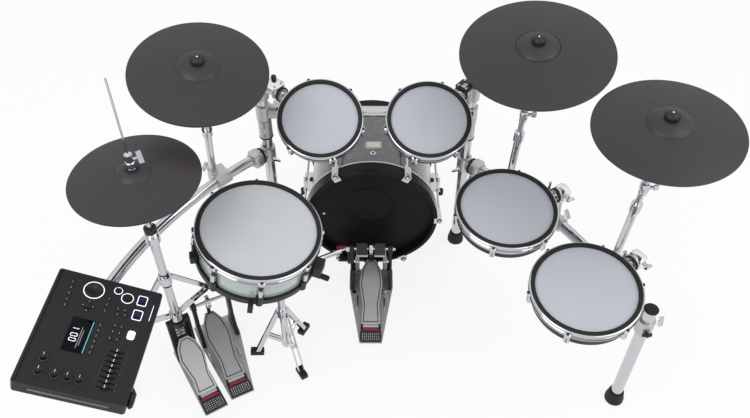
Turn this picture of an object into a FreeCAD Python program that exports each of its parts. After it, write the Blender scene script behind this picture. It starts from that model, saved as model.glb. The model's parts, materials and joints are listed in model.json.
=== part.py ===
import FreeCAD, Part
import math
import os
import re

import Sketcher
from FreeCAD import Placement, Rotation, Vector

# Electronic drum kit. Millimetres and degrees, +Z up, +X to the player's right, +Y away from the player.
# Places on the floor are measured from the point under the front edge of the kick's batter hoop,
# and the whole kit is then moved so that the origin lies under the middle of its box.
SIZES = {
    # Whole kit
    "kit_centre_x": 44.7,
    "kit_centre_y": -316.9,
    "overrun": 2,
    "seat_gap": 0.3,
    "running_gap": 0.05,
    # Rack tubes
    "tube_radius": 19,
    "tube_wall": 2,
    "left_post_x": -372,
    "right_post_x": 337,
    "post_y": 116,
    "post_height": "=tom_mount_height + post_rise",
    "bar_height": "=tom_mount_height - bar_drop",
    "post_rise": 41,
    "bar_drop": 88,
    "left_arm_height": 460,
    "right_arm_height": 415,
    "left_leg_x": -823,
    "right_leg_x": 822,
    "leg_y": -604,
    "leg_height": 490,
    "left_arm_bow": 70,
    "right_arm_bow": 77,
    # Rack fittings
    "clamp_wall": 7,
    "clamp_length": 56,
    "clamp_web_radius": 16,
    "bow_gap": 0.6,
    "foot_radius": 31,
    "foot_height": 46,
    "foot_top_radius": 24,
    "foot_sole": 9,
    "foot_toe": 12,
    "cap_height": 6,
    "cap_rim": 3,
    "screw_radius": 4,
    "screw_length": 20,
    "screw_bite": 3,
    "wing_span": 34,
    "wing_height": 14,
    "wing_thickness": 6,
    # Tom pads: places of the rim's middle, tilt of the head, where the tilt faces and turn of the lugs
    "left_tom_x": -161,
    "left_tom_y": -71,
    "left_tom_z": 769,
    "left_tom_tilt": 28,
    "left_tom_facing": 6,
    "left_tom_spin": -12,
    "right_tom_x": 182,
    "right_tom_y": -70,
    "right_tom_z": 767,
    "right_tom_tilt": 24.7,
    "right_tom_facing": 2,
    "right_tom_spin": 11,
    "first_floor_tom_x": 428,
    "first_floor_tom_y": -272,
    "first_floor_tom_z": 581,
    "first_floor_tom_tilt": 5.9,
    "first_floor_tom_facing": 3,
    "first_floor_tom_spin": 10,
    "second_floor_tom_x": 620,
    "second_floor_tom_y": -587,
    "second_floor_tom_z": 574,
    "second_floor_tom_tilt": 5.8,
    "second_floor_tom_facing": -26,
    "second_floor_tom_spin": 3,
    "rack_tom_radius": 133,
    "floor_tom_radius": 158.5,
    "tom_depth": 66,
    "tom_mount_height": 734,
    "tom_lug_radius": 7,
    "tom_lug_height": 30,
    "tom_plate_width": 58,
    "tom_plate_height": 30,
    "tom_plate_depth": 10,
    "mount_rod_radius": 6,
    "mount_rod_length": 42,
    "mount_ball_radius": 13,
    "mount_cup_radius": 24,
    "mount_cup_back": 24,
    "mount_cup_lip": 5,
    "mount_stem_radius": 10,
    # Rims, hoops and heads of the pads
    "rim_width": 13,
    "rim_height": 9,
    "rim_round": 4,
    "hoop_height": 18,
    "hoop_wall": 3,
    "hoop_flange": 5,
    "hoop_flange_height": 3,
    "hoop_ear_radius": 9,
    "bolt_radius": 4,
    "bolt_height": 7,
    "head_film": 1.5,
    "head_ring_height": 9,
    "shell_wall": 5,
    "shell_floor": 4,
    # Snare pad
    "snare_x": -326,
    "snare_y": -428,
    "snare_z": 645,
    "snare_tilt": 11.4,
    "snare_facing": 65,
    "snare_spin": 8.5,
    "snare_radius": 184,
    "snare_depth": 106,
    "snare_ring_height": 20,
    "snare_ring_width": 14,
    "snare_lug_radius": 7,
    "snare_lug_width": 22,
    "snare_box_width": 44,
    "snare_box_depth": 26,
    "snare_box_height": 46,
    # Snare stand
    "stand_x": -292,
    "stand_y": -428,
    "stand_tube_radius": 13,
    "stand_hub_height": 235,
    "stand_collar_height": 78,
    "stand_collar_length": 34,
    "stand_collar_wall": 6,
    "stand_leg_reach": 106,
    "stand_leg_turn": 32,
    "strip_width": 14,
    "strip_thickness": 3,
    "strip_spread": 9,
    "rubber_toe_length": 46,
    "rubber_toe_width": 24,
    "rubber_toe_height": 18,
    "basket_drop": 24,
    "basket_lip": 12,
    "basket_lip_height": 6,
    "basket_arm_width": 16,
    "basket_arm_radius": 6,
    "basket_grip_height": 40,
    "basket_grip_depth": 16,
    "basket_hub_radius": 24,
    "basket_hub_height": 20,
    "basket_turn": 22.5,
    "tilter_radius": 16,
    "tilter_width": 30,
    "tilter_height": 440,
    "tilter_neck": 7,
    "tilter_pin": 5,
    "stand_tube_foot": 46,
    # Kick drum
    "kick_z": "=kick_hoop_radius + kick_lift",
    "kick_tilt": -0.6,
    "kick_y": -24,
    "kick_lift": 12,
    "kick_depth": 400,
    "kick_hoop_radius": "=kick_shell_radius + kick_hoop_room",
    "kick_hoop_room": 15,
    "kick_hoop_width": 56,
    "kick_hoop_wall": 8,
    "kick_hoop_lip": 14,
    "kick_lip_depth": 27,
    "kick_shell_radius": 227,
    "kick_shell_wall": 7,
    "kick_ring_depth": 9,
    "kick_film": 2,
    "kick_edge": 2,
    "claw_width": 26,
    "claw_thickness": 4,
    "claw_hook": 12,
    "claw_reach": 52,
    "claw_rod_radius": 4,
    "kick_lug_radius": 9,
    "kick_lug_length": 90,
    "kick_lug_foot": 16,
    "spur_station": 300,
    "spur_turn": 22,
    "spur_bracket_width": 34,
    "spur_bracket_length": 54,
    "spur_bracket_depth": 30,
    "spur_rod_radius": 7,
    "spur_splay": 60,
    "spur_forward": 100,
    "spur_tip_radius": 13,
    "spur_tip_height": 22,
    # Cymbals: places of the middle of the edge's plane, tilt and facing
    "left_crash_x": -499,
    "left_crash_y": -135,
    "left_crash_z": 986,
    "left_crash_tilt": 12.7,
    "left_crash_facing": 31,
    "ride_x": 487,
    "ride_y": -59,
    "ride_z": 1008,
    "ride_tilt": 10.6,
    "ride_facing": -27,
    "right_crash_x": 796,
    "right_crash_y": -375,
    "right_crash_z": 980,
    "right_crash_tilt": 5.4,
    "right_crash_facing": -40,
    "crash_radius": 203,
    "ride_radius": 228.6,
    "cymbal_bow": 26,
    "cymbal_bell_radius": 44,
    "cymbal_bell_height": 15,
    "cymbal_flat_radius": 15,
    "cymbal_thickness": 6,
    "cymbal_edge": 5,
    "cymbal_hole": 6,
    "stud_radius": 4,
    "stud_top": 34,
    "felt_radius": 14,
    "felt_height": 9,
    "felt_crown": 1.8,
    "cymbal_gap": 0.85,
    "nut_radius": 12,
    "nut_height": 20,
    "nut_crown": 6,
    "tilt_head_radius": 13,
    "tilt_head_width": 30,
    "tilt_drop": 62,
    "cymbal_tube_radius": 9.5,
    "cymbal_pole_radius": 12.7,
    "collar_radius": 17,
    "collar_length": 30,
    "post_tail": 60,
    "clamp_spacing": 46,
    # Hi-hat
    "hihat_x": -640,
    "hihat_y": -450,
    "hihat_yaw": 32,
    "hihat_edge_height": 858,
    "hihat_opening": 12,
    "hihat_travel": 11.5,
    "hihat_radius": 180,
    "hihat_bow": 20,
    "hihat_bell_radius": 50,
    "hihat_bell_height": 13,
    "hihat_rod_radius": 3.2,
    "hihat_hole": 7.3,
    "hihat_bore": 4.5,
    "hihat_rod_top": 1190,
    "hihat_tube_radius": 14,
    "hihat_tube_foot": 205,
    "hihat_tube_top": 620,
    "hihat_upper_radius": 9.5,
    "hihat_casting_radius": 22,
    "hihat_casting_height": 26,
    "hihat_seat_radius": 22,
    "hihat_seat_height": 12,
    "clutch_radius": 11,
    "clutch_height": 44,
    "clutch_flange_radius": 16,
    "clutch_flange_height": 6,
    "hihat_collar_height": 430,
    "hihat_leg_reach": 250,
    "hihat_back_reach": 305,
    "hihat_brace_height": 245,
    "hihat_frame_half": 30,
    "hihat_frame_depth": 18,
    "hihat_frame_wall": 9,
    "hihat_yoke_height": 30,
    "hihat_heel": 250,
    "hihat_hinge": 188,
    "hihat_toe_height": 132,
    "hihat_toe_reach": 14,
    "hihat_plate_front": 42,
    # Kick pedals
    "pedal_heel": 391,
    "pedal_hinge": 333,
    "pedal_shaft_y": -112,
    "pedal_shaft_height": 195,
    "pedal_toe_y": -84,
    "pedal_toe_height": 100,
    "pedal_plate": 6,
    "pedal_heel_half": 40,
    "pedal_wide_half": 82,
    "pedal_narrow_half": 62,
    "pedal_wide_y": -139,
    "pedal_front_y": -52,
    "heel_half": 36,
    "heel_block_height": 20,
    "heel_block_length": 54,
    "hinge_height": 24,
    "hinge_barrel_radius": 6,
    "hinge_pin_radius": 3,
    "knuckle_width": 8,
    "board_thickness": 6,
    "board_half": 43,
    "tower_half": 70,
    "tower_width": 13,
    "tower_depth": 28,
    "tower_boss_radius": 17,
    "axle_radius": 6,
    "axle_end": 12,
    "cam_radius": 28,
    "cam_width": 12,
    "chain_width": 12,
    "chain_thickness": 5,
    "beater_side": 30,
    "hub_width": 22,
    "hub_radius": 13,
    "beater_rod_radius": 4,
    "beater_reach": 205,
    "beater_lean": 42,
    "beater_head_width": 36,
    "beater_head_height": 44,
    "beater_head_length": 40,
    "beater_round": 5,
    "rocker_side": 50,
    "rocker_reach": 30,
    "rocker_thickness": 8,
    "spring_radius": 7,
    "spring_wire": 1,
    "spring_turns": 9,
    "spring_drop": 12,
    "spring_length": 62,
    "spring_cap": 3,
    "spring_stem": 2.5,
    "jaw_half": 26,
    "jaw_height": "=kick_lift - seat_gap",
    "jaw_reach": 15,
    "jaw_throat": 16.2,
    "jaw_behind": 36,
    "jaw_thickness": 8,
    "jaw_column": 10,
    "lever_length": 54,
    "lever_width": 12,
    "lever_thickness": 5,
    "slave_yaw": 27.6,
    "drive_reach": 528,
    "drive_radius": 6,
    "drive_sleeve_radius": 9,
    "joint_radius": 11,
    "joint_length": 24,
    "joint_side": 90,
    "joint_ball": 7,
    "joint_neck": 4,
    "axle_break": 4,
    "slave_tower": 52,
    # Sound module
    "module_x": -694,
    "module_y": -849,
    "module_z": 700,
    "module_width": 335,
    "module_depth": 270,
    "module_height": 46,
    "module_roll": 19,
    "module_pitch": 1.5,
    "module_turn": -3.6,
    "module_round": 5,
    "screen_width": 135,
    "screen_depth": 70,
    "screen_sink": 2,
    "screen_glass": 1.5,
    "dial_radius": 23,
    "dial_height": 13,
    "dial_pin_radius": 3,
    "control_sink": 4,
    "knob_radius": 8,
    "knob_height": 14,
    "fader_width": 8,
    "fader_length": 14,
    "fader_height": 9,
    "fader_pitch": 14.4,
    "fader_slot": 42,
    "fader_slot_width": 3,
    "fader_stem": 2,
    "fader_travel": 12,
    "button_size": 13,
    "button_height": 4,
    "button_travel": 1.5,
    "button_gap": 0.4,
    "button_sink": 6,
    "module_clamp_height": 385,
    "module_bend_height": 560,
    "mount_plate": 8,
    "mount_plate_size": 90,
    "module_rod_radius": 9.5,
}

doc = FreeCAD.newDocument("drum_kit")
sheet = doc.addObject("Spreadsheet::Sheet", "Sizes")
for row, alias in enumerate(SIZES, start=1):
    sheet.set(f"A{row}", alias)
    sheet.setAlias(f"B{row}", alias)
for row, value in enumerate(SIZES.values(), start=1):
    sheet.set(f"B{row}", str(value))
doc.recompute()

UP = Vector(0, 0, 1)
RIGHT = Vector(1, 0, 0)
AWAY = Vector(0, 1, 0)
WORD = re.compile(r"\b[a-z][a-z_0-9]*\b")
BOARD_SHARES = ((0.79, 0.05), (0.70, 0.30), (1.0, 0.65), (0.80, 0.86), (0.35, 1.0))
HIHAT_LEG_TURNS = (60, 192)
SCREEN_SHARES = (-0.103, -0.089)
DIAL_SHARES = (-0.128, 0.376)
KNOB_SHARES = ((-0.317, -0.272), (-0.314, -0.385), (-0.174, -0.385), (-0.065, -0.385), (0.041, -0.385))
FADER_SHARES = (0.268, -0.098)
BUTTON_SHARES = ((0.089, 0.425), (0.193, 0.377), (0.334, 0.386), (0.333, 0.251), (0.339, 0.067), (-0.127, 0.226))
CLAW_TURNS = (0, 60, 120, 180, 240, 300)
MOUNT_SHARES = {"floor_tom_1": 0.465, "floor_tom_2": 0.845}
POST_SHARES = {"left_crash": 0.237, "ride": 0.244, "right_crash": 0.72}
BRACE_SHARES = {"snare_legs": 0.55, "hihat_legs": 0.5}
SCREW_WAYS = {"left": Vector(0.6, -0.8, 0), "right": Vector(-0.6, -0.8, 0)}
SEAM_TURN = Placement(Vector(), Rotation(UP, 37))
NODES = {}
WORKED = {}


class Numbers:
    """The sheet's values as plain numbers, by alias."""

    def __getattr__(self, alias):
        return float(sheet.get(alias))


size = Numbers()


# Small helpers on the document

def formula(text):
    """Writes a sum of aliases as the sheet's own expression."""
    return WORD.sub(lambda word: f"Sizes.{word.group()}" if word.group() in SIZES else word.group(), text)


def bind(thing, prop, text):
    """Ties a property to the sheet."""
    thing.setExpression(prop, formula(text))


def number(text):
    """The present value of a sum of aliases, worked out in a spare cell of the sheet."""
    if text not in WORKED:
        sheet.set("D1", f"={text}")
        sheet.recompute()
        WORKED[text] = float(sheet.get("D1"))
    return WORKED[text]


def node(label, thing):
    """Names a finished sub-part."""
    thing.Label = label
    NODES[label] = thing
    return thing


def group(label, things):
    """Several like solids that share one node."""
    compound = doc.addObject("Part::Compound", "group")
    compound.Links = things
    return node(label, compound)


def floor_spot(x, y, z):
    """A place in the kit's frame, from a place measured at the kick's batter hoop."""
    return Vector(x - size.kit_centre_x, y - size.kit_centre_y, z)


def facing(tilt, turn):
    """The direction of an axis that leans by tilt from upright, towards the player turned by turn."""
    lean = math.radians(tilt)
    side = math.radians(turn)
    return Vector(math.sin(lean) * math.sin(side), -math.sin(lean) * math.cos(side), math.cos(lean))


def frame_of(name):
    """The frame of a drum or cymbal: its origin at the named place, +Z out of its head."""
    spot = floor_spot(*(getattr(size, f"{name}_{axis}") for axis in "xyz"))
    normal = facing(getattr(size, f"{name}_tilt"), getattr(size, f"{name}_facing"))
    return Placement(spot, Rotation(UP, normal))


def along(start, end):
    """A frame at start whose +Z runs to end."""
    return Placement(start, Rotation(UP, end - start))


def yawed(spot, yaw):
    """A frame on the floor, turned about the upright."""
    return Placement(spot, Rotation(UP, yaw))


# Solids

def bar(start, end, radius):
    """A round bar between two points."""
    cylinder = doc.addObject("Part::Cylinder", "bar")
    bind(cylinder, "Radius", radius)
    cylinder.Height = (end - start).Length
    cylinder.Placement = along(start, end).multiply(SEAM_TURN)
    return cylinder


def ball(centre, radius):
    """A ball."""
    sphere = doc.addObject("Part::Sphere", "ball")
    bind(sphere, "Radius", radius)
    sphere.Placement = Placement(centre, Rotation(Vector(1, 1, 1), 50))
    return sphere


def block(place, length, width, height, anchor=(0.5, 0.5, 0)):
    """A block in a frame; anchor_shares say which share of each side lies before the frame's origin."""
    box = doc.addObject("Part::Box", "block")
    bind(box, "Length", length)
    bind(box, "Width", width)
    bind(box, "Height", height)
    sides = [number(text) for text in (length, width, height)]
    shift = Vector(*(-share * side for share, side in zip(anchor, sides)))
    box.Placement = place.multiply(Placement(shift, Rotation()))
    return box


def fused(things):
    """One solid from several that meet."""
    if len(things) == 1:
        return things[0]
    union = doc.addObject("Part::MultiFuse", "union")
    union.Shapes = things
    return union


def less(base, tools):
    """A solid with others cut out of it."""
    cut = doc.addObject("Part::Cut", "cut")
    cut.Base = base
    cut.Tool = fused(tools)
    return cut


def tube(start, end, radius, wall):
    """A hollow bar."""
    run = (end - start).normalize() * size.overrun
    return less(bar(start, end, radius), [bar(start - run, end + run, f"{radius} - {wall}")])


def origin_plane(body, role):
    """One of a body's own origin planes."""
    return next(feature for feature in body.Origin.OriginFeatures if feature.Role == role)


def sketch_on(body, role, lift="0"):
    """An empty sketch on one of a body's origin planes, moved out along it by lift."""
    sketch = body.newObject("Sketcher::SketchObject", "sketch")
    sketch.AttachmentSupport = (origin_plane(body, role), [""])
    sketch.MapMode = "FlatFace"
    if lift != "0":
        bind(sketch, "AttachmentOffset.Base.z", lift)
    return sketch


def arc_middle(start, end, bulge):
    """The middle of an arc that stands off its chord by bulge times the chord, to the right of the way."""
    chord = end - start
    return (start + end) * 0.5 + Vector(chord.y, -chord.x, 0) * bulge


def draw(sketch, points):
    """Draws a closed outline of (x, y) or (x, y, bulge share of the next edge), tied to the sheet."""
    corners = [Vector(number(point[0]), number(point[1]), 0) for point in points]
    count = len(points)
    ends = []
    for index, point in enumerate(points):
        start, end = corners[index], corners[(index + 1) % count]
        if len(point) == 2:
            sketch.addGeometry(Part.LineSegment(start, end))
            ends.append((1, 2))
        else:
            sketch.addGeometry(Part.Arc(start, arc_middle(start, end, point[2]), end))
            same = sketch.getPoint(index, 1).distanceToPoint(start) < sketch.getPoint(index, 2).distanceToPoint(start)
            ends.append((1, 2) if same else (2, 1))
    for index, point in enumerate(points):
        after = (index + 1) % count
        sketch.addConstraint(Sketcher.Constraint("Coincident", index, ends[index][1], after, ends[after][0]))
        for kind, text, axis in (("DistanceX", point[0], -2), ("DistanceY", point[1], -1)):
            if text == "0":
                sketch.addConstraint(Sketcher.Constraint("PointOnObject", index, ends[index][0], axis))
            else:
                rule = Sketcher.Constraint(kind, -1, 1, index, ends[index][0], number(text))
                bind(sketch, f"Constraints[{sketch.addConstraint(rule)}]", text)
        if len(point) == 3:
            beyond = points[after]
            bend = abs(point[2])
            factor = 1 / (8 * bend) + bend / 2
            chord = f"sqrt(({beyond[0]} - ({point[0]}))^2 + ({beyond[1]} - ({point[1]}))^2)"
            text = f"{chord} * {factor}"
            rule = Sketcher.Constraint("Radius", index, number(text))
            bind(sketch, f"Constraints[{sketch.addConstraint(rule)}]", text)


def draw_circle(sketch, x, y, radius):
    """Draws a circle tied to the sheet."""
    index = sketch.addGeometry(Part.Circle(Vector(number(x), number(y), 0), UP, number(radius)))
    for kind, text, axis in (("DistanceX", x, -2), ("DistanceY", y, -1)):
        if text == "0":
            sketch.addConstraint(Sketcher.Constraint("PointOnObject", index, 3, axis))
        else:
            rule = sketch.addConstraint(Sketcher.Constraint(kind, -1, 1, index, 3, number(text)))
            bind(sketch, f"Constraints[{rule}]", text)
    rule = sketch.addConstraint(Sketcher.Constraint("Radius", index, number(radius)))
    bind(sketch, f"Constraints[{rule}]", radius)


def new_body(place):
    """An empty body in a frame."""
    body = doc.addObject("PartDesign::Body", "body")
    body.Placement = place
    return body


def turned(place, points):
    """A body turned about its +Z from an outline of (radius, height)."""
    body = new_body(place)
    sketch = sketch_on(body, "XZ_Plane")
    draw(sketch, points)
    turn = body.newObject("PartDesign::Revolution", "turn")
    turn.Profile = sketch
    turn.ReferenceAxis = (sketch, ["V_Axis"])
    turn.Angle = 360
    return body


def padded(body, points, height, lift="0", role="XY_Plane"):
    """Adds a straight pad of an outline to a body."""
    sketch = sketch_on(body, role, lift)
    draw(sketch, points)
    pad = body.newObject("PartDesign::Pad", "pad")
    pad.Profile = sketch
    bind(pad, "Length", height)
    return pad


def round_padded(body, x, y, radius, height, lift):
    """Adds a round pad to a body."""
    sketch = sketch_on(body, "XY_Plane", lift)
    draw_circle(sketch, x, y, radius)
    pad = body.newObject("PartDesign::Pad", "pad")
    pad.Profile = sketch
    bind(pad, "Length", height)
    return pad


def repeated(body, features, count):
    """Repeats features evenly about the body's +Z."""
    pattern = body.newObject("PartDesign::PolarPattern", "pattern")
    pattern.Originals = features
    pattern.Axis = (features[0].Profile[0], ["N_Axis"])
    pattern.Angle = 360
    pattern.Occurrences = count
    body.Tip = pattern
    return pattern


# Rack

class Arm:
    """A side arm of the rack: a level arc from its rear post to its front leg."""

    def __init__(self, side, outward):
        height = getattr(size, f"{side}_arm_height")
        self.rear = floor_spot(getattr(size, f"{side}_post_x"), size.post_y, height)
        self.leg = floor_spot(getattr(size, f"{side}_leg_x"), size.leg_y, height)
        bow = getattr(size, f"{side}_arm_bow")
        chord = self.leg - self.rear
        normal = Vector(chord.y, -chord.x, 0).normalize() * -outward
        self.radius = chord.Length ** 2 / (8 * bow) + bow / 2
        self.centre = (self.rear + self.leg) * 0.5 - normal * (self.radius - bow)
        self.start = self.angle_to(self.rear)
        self.sweep = (self.angle_to(self.leg) - self.start + math.pi) % (2 * math.pi) - math.pi

    def angle_to(self, spot):
        """The bearing of a place from the arc's middle."""
        return math.atan2(spot.y - self.centre.y, spot.x - self.centre.x)

    def point(self, share):
        """The place at a share of the way from the post to the leg."""
        angle = self.start + self.sweep * share
        return self.centre + Vector(math.cos(angle), math.sin(angle), 0) * self.radius

    def normal(self, share):
        """The level direction away from the kit's middle, square to the arm."""
        return (self.point(share) - self.centre).normalize()

    def way(self, share):
        """The direction along the arm, towards the leg."""
        return UP.cross(self.normal(share)) * math.copysign(1, self.sweep)

    def ring(self, radius, extra):
        """The arc as a solid ring that stops short of both uprights, longer by extra at both ends."""
        torus = doc.addObject("Part::Torus", "arc")
        torus.Radius1 = self.radius
        bind(torus, "Radius2", radius)
        stop = (size.tube_radius + size.seat_gap - extra) / self.radius
        sweep = abs(self.sweep) - stop * 2
        torus.Angle3 = math.degrees(sweep)
        start = self.start + stop if self.sweep > 0 else self.start - stop - sweep
        torus.Placement = Placement(self.centre, Rotation(UP, math.degrees(start)))
        return torus

    def joint_share(self):
        """How far from either upright the sleeve on the arm's end has its middle, as a share."""
        return (size.clamp_length / 2 + size.tube_radius) / (self.radius * abs(self.sweep))

    def solid(self):
        """The hollow arm."""
        return less(self.ring("tube_radius", 0), [self.ring("tube_radius - tube_wall", size.overrun)])


LEFT_ARM = Arm("left", -1)
RIGHT_ARM = Arm("right", 1)
POSTS = {side: floor_spot(getattr(size, f"{side}_post_x"), size.post_y, 0) for side in ("left", "right")}
LEGS = {side: floor_spot(getattr(size, f"{side}_leg_x"), size.leg_y, 0) for side in ("left", "right")}
CLAMPS = []
SCREWS = []


def raised(spot, height):
    """A place straight above a place on the floor."""
    return Vector(spot.x, spot.y, height)


def sleeve(spot, way, radius, gap):
    """A clamp's sleeve about a tube, with its bore: two cylinders on one axis."""
    half = way.normalize() * (size.clamp_length / 2)
    run = way * size.overrun
    return (bar(spot - half, spot + half, f"{radius} + clamp_wall"),
            bar(spot - half - run, spot + half + run, f"{radius} + {gap}"))


def clamp(first, second):
    """A cast clamp with a sleeve on each of two tubes and a web between; each tube is (spot, way, radius, gap)."""
    sleeves = [sleeve(*first), sleeve(*second)]
    web = bar(first[0], second[0], "clamp_web_radius")
    CLAMPS.append(less(fused([part[0] for part in sleeves] + [web]), [part[1] for part in sleeves]))


def wing_screw(spot, way):
    """A wing screw that bites into a casting at spot and points out along way."""
    way = way.normalize()
    start = spot - way * size.screw_bite
    end = spot + way * size.screw_length
    wing = block(along(end, end + way), "wing_span", "wing_thickness", "wing_height")
    SCREWS.append(fused([bar(start, end + way * size.wing_thickness, "screw_radius"), wing]))


def sleeve_face(spot, way, radius):
    """Where a screw meets a sleeve's outside."""
    return spot + way.normalize() * (radius + size.clamp_wall)


def rack_tubes():
    """Posts, cross bar, arms and legs."""
    posts = [tube(raised(spot, size.foot_sole), raised(spot, size.post_height), "tube_radius", "tube_wall")
             for spot in POSTS.values()]
    group("rack_posts", posts)
    inset = RIGHT * (size.tube_radius + size.seat_gap)
    left, right = (raised(spot, size.bar_height) for spot in POSTS.values())
    node("rack_cross_bar", tube(left + inset, right - inset, "tube_radius", "tube_wall"))
    group("rack_arms", [LEFT_ARM.solid(), RIGHT_ARM.solid()])
    legs = [tube(raised(spot, size.foot_sole), raised(spot, size.leg_height), "tube_radius", "tube_wall")
            for spot in LEGS.values()]
    group("rack_legs", legs)


def rack_ends():
    """Flared rubber feet under the uprights, and caps on the open tube ends."""
    things = []
    for spot in list(POSTS.values()) + list(LEGS.values()):
        things.append(turned(Placement(spot, Rotation()), [
            ("0", "0"), ("foot_radius", "0"), ("foot_radius", "foot_toe"), ("foot_top_radius", "foot_height", -0.12),
            ("tube_radius + seat_gap", "foot_height"), ("tube_radius + seat_gap", "foot_sole"), ("0", "foot_sole")]))
    tops = [raised(spot, size.post_height) for spot in POSTS.values()]
    tops += [raised(spot, size.leg_height) for spot in LEGS.values()]
    for top in tops:
        things.append(turned(Placement(top, Rotation()), [
            ("0", "0"), ("tube_radius + cap_rim", "0"), ("tube_radius + cap_rim", "cap_height / 2"),
            ("tube_radius", "cap_height"), ("0", "cap_height")]))
    group("rack_ends", things)


def rack_clamps():
    """Clamps where the rack's own tubes meet."""
    for side, arm in (("left", LEFT_ARM), ("right", RIGHT_ARM)):
        post = raised(POSTS[side], size.bar_height)
        inward = RIGHT if side == "left" else RIGHT * -1
        reach = inward * (size.clamp_length / 2 + size.tube_radius)
        clamp((post, UP, "tube_radius", "seat_gap"), (post + reach, inward, "tube_radius", "seat_gap"))
        wing_screw(sleeve_face(post + reach, AWAY, size.tube_radius), AWAY)
        ends = ((arm.rear, arm.joint_share(), SCREW_WAYS[side]), (arm.leg, 1 - arm.joint_share(), arm.normal(1)))
        for upright, share, out in ends:
            clamp((upright, UP, "tube_radius", "seat_gap"), (arm.point(share), arm.way(share), "tube_radius", "bow_gap"))
            wing_screw(sleeve_face(upright, out, size.tube_radius), out)


# Pads

class Pad:
    """A drum pad: hoop with its rubber rim, head and shell, in the frame of its rim."""

    def __init__(self, label, name, radius, lugs):
        self.label = label
        self.radius = radius
        self.lugs = lugs
        spin = Rotation(UP, getattr(size, f"{name}_spin"))
        self.frame = frame_of(name).multiply(Placement(Vector(), spin))
        self.normal = self.frame.Rotation.multVec(UP)
        self.head_top = "-(rim_height + seat_gap)"
        self.hoop_foot = "-(rim_height + hoop_height)"
        self.shell_radius = f"{radius} - hoop_wall * 2 - seat_gap * 2"
        self.shell_top = "-(rim_height + seat_gap * 2 + head_film)"

    def tongue(self, start, centre, half):
        """The outline of an ear: straight sides and a round end."""
        return [(start, f"-{half}"), (centre, f"-{half}", 0.35), (centre, half), (start, half)]

    def hoop(self):
        """The hoop, with its moulded rim, ears and bolt heads."""
        outer, rim = self.radius, f"{self.radius} - rim_width"
        wall = f"{self.radius} - hoop_wall"
        flange, ledge = f"{outer} + hoop_flange", f"{self.hoop_foot} + hoop_flange_height"
        body = turned(self.frame, [
            (wall, self.hoop_foot), (flange, self.hoop_foot), (flange, ledge), (outer, ledge),
            (outer, "-rim_round", 0.2), (f"{outer} - rim_round", "0"), (f"{rim} + rim_round", "0", 0.2),
            (rim, "-rim_round"), (rim, "-rim_height"), (wall, "-rim_height")])
        ear = padded(body, self.tongue(f"{outer} - hoop_wall / 2", f"{outer} + hoop_wall", "hoop_ear_radius"),
                     "hoop_flange_height", self.hoop_foot)
        bolt = round_padded(body, f"{outer} + hoop_wall + hoop_flange_height", "0", "bolt_radius",
                            "bolt_height", ledge)
        repeated(body, [ear, bolt], self.lugs)
        node(f"{self.label}_hoop", body)

    def head(self):
        """The head's film and the ring that stretches it."""
        outer = f"{self.radius} - hoop_wall - seat_gap"
        inner = f"{self.radius} - hoop_wall * 2 - seat_gap"
        node(f"{self.label}_head", turned(self.frame, [
            ("0", f"{self.head_top} - head_film"), (inner, f"{self.head_top} - head_film"),
            (inner, f"{self.head_top} - head_ring_height"), (outer, f"{self.head_top} - head_ring_height"),
            (outer, self.head_top), ("0", self.head_top)]))

    def shell(self, depth):
        """The closed shell without fittings."""
        outer, inner = self.shell_radius, f"{self.shell_radius} - shell_wall"
        return turned(self.frame, [
            ("0", f"-{depth}"), (outer, f"-{depth}"), (outer, self.shell_top), (inner, self.shell_top),
            (inner, f"-{depth} + shell_floor"), ("0", f"-{depth} + shell_floor")])


class Tom(Pad):
    """A tom pad with the ball joint it tilts on."""

    def __init__(self, label, name, radius, foot, way):
        super().__init__(label, name, radius, 6)
        self.foot = foot
        self.way = way
        level = self.foot - self.frame.Base
        self.towards = Vector(level.x, level.y, 0).normalize()
        across = (self.towards - self.normal * self.towards.dot(self.normal)).normalize()
        wall = number(self.shell_radius)
        self.exit = self.frame.Base - self.normal * (size.tom_depth * 2 / 3) + across * wall
        self.pivot = self.exit + self.towards * size.mount_rod_length
        self.across = across

    def tilt_axis(self):
        """The level axis that the pad tilts about."""
        return UP.cross(self.towards)

    def fitted_shell(self):
        """The shell with its lugs, mounting plate, rod and ball."""
        body = self.shell("tom_depth")
        lug = padded(body, self.tongue(f"{self.shell_radius} - shell_wall / 2",
                                       f"{self.radius} + hoop_wall", "tom_lug_radius"),
                     "tom_lug_height", f"{self.hoop_foot} - seat_gap - tom_lug_height")
        repeated(body, [lug], self.lugs)
        plate_frame = Placement(self.exit, Rotation(self.across, self.normal.cross(self.across), self.normal, "XYZ"))
        plate = block(plate_frame, "tom_plate_depth", "tom_plate_width", "tom_plate_height", (0.3, 0.5, 0.5))
        rod = bar(self.exit, self.pivot, "mount_rod_radius")
        node(f"{self.label}_shell", fused([body, plate, rod, ball(self.pivot, "mount_ball_radius")]))

    def mount(self, radius, gap):
        """The arm from the rack that holds the ball in its cup."""
        back = self.pivot + self.towards * size.mount_cup_back
        cup = bar(self.pivot - self.towards * size.mount_cup_lip, back, "mount_cup_radius")
        inner = self.pivot + self.towards * ((size.mount_cup_back + size.mount_ball_radius) / 2)
        stem = bar(self.foot, inner, "mount_stem_radius")
        outside, bore = sleeve(self.foot, self.way, radius, gap)
        hollow = ball(self.pivot, "mount_ball_radius + seat_gap")
        return less(fused([cup, stem, outside]), [hollow, bore])


def floor_tom(label, name):
    """A tom pad that hangs on the right arm."""
    share = MOUNT_SHARES[label]
    return Tom(label, name, "floor_tom_radius", RIGHT_ARM.point(share), RIGHT_ARM.way(share))


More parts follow.
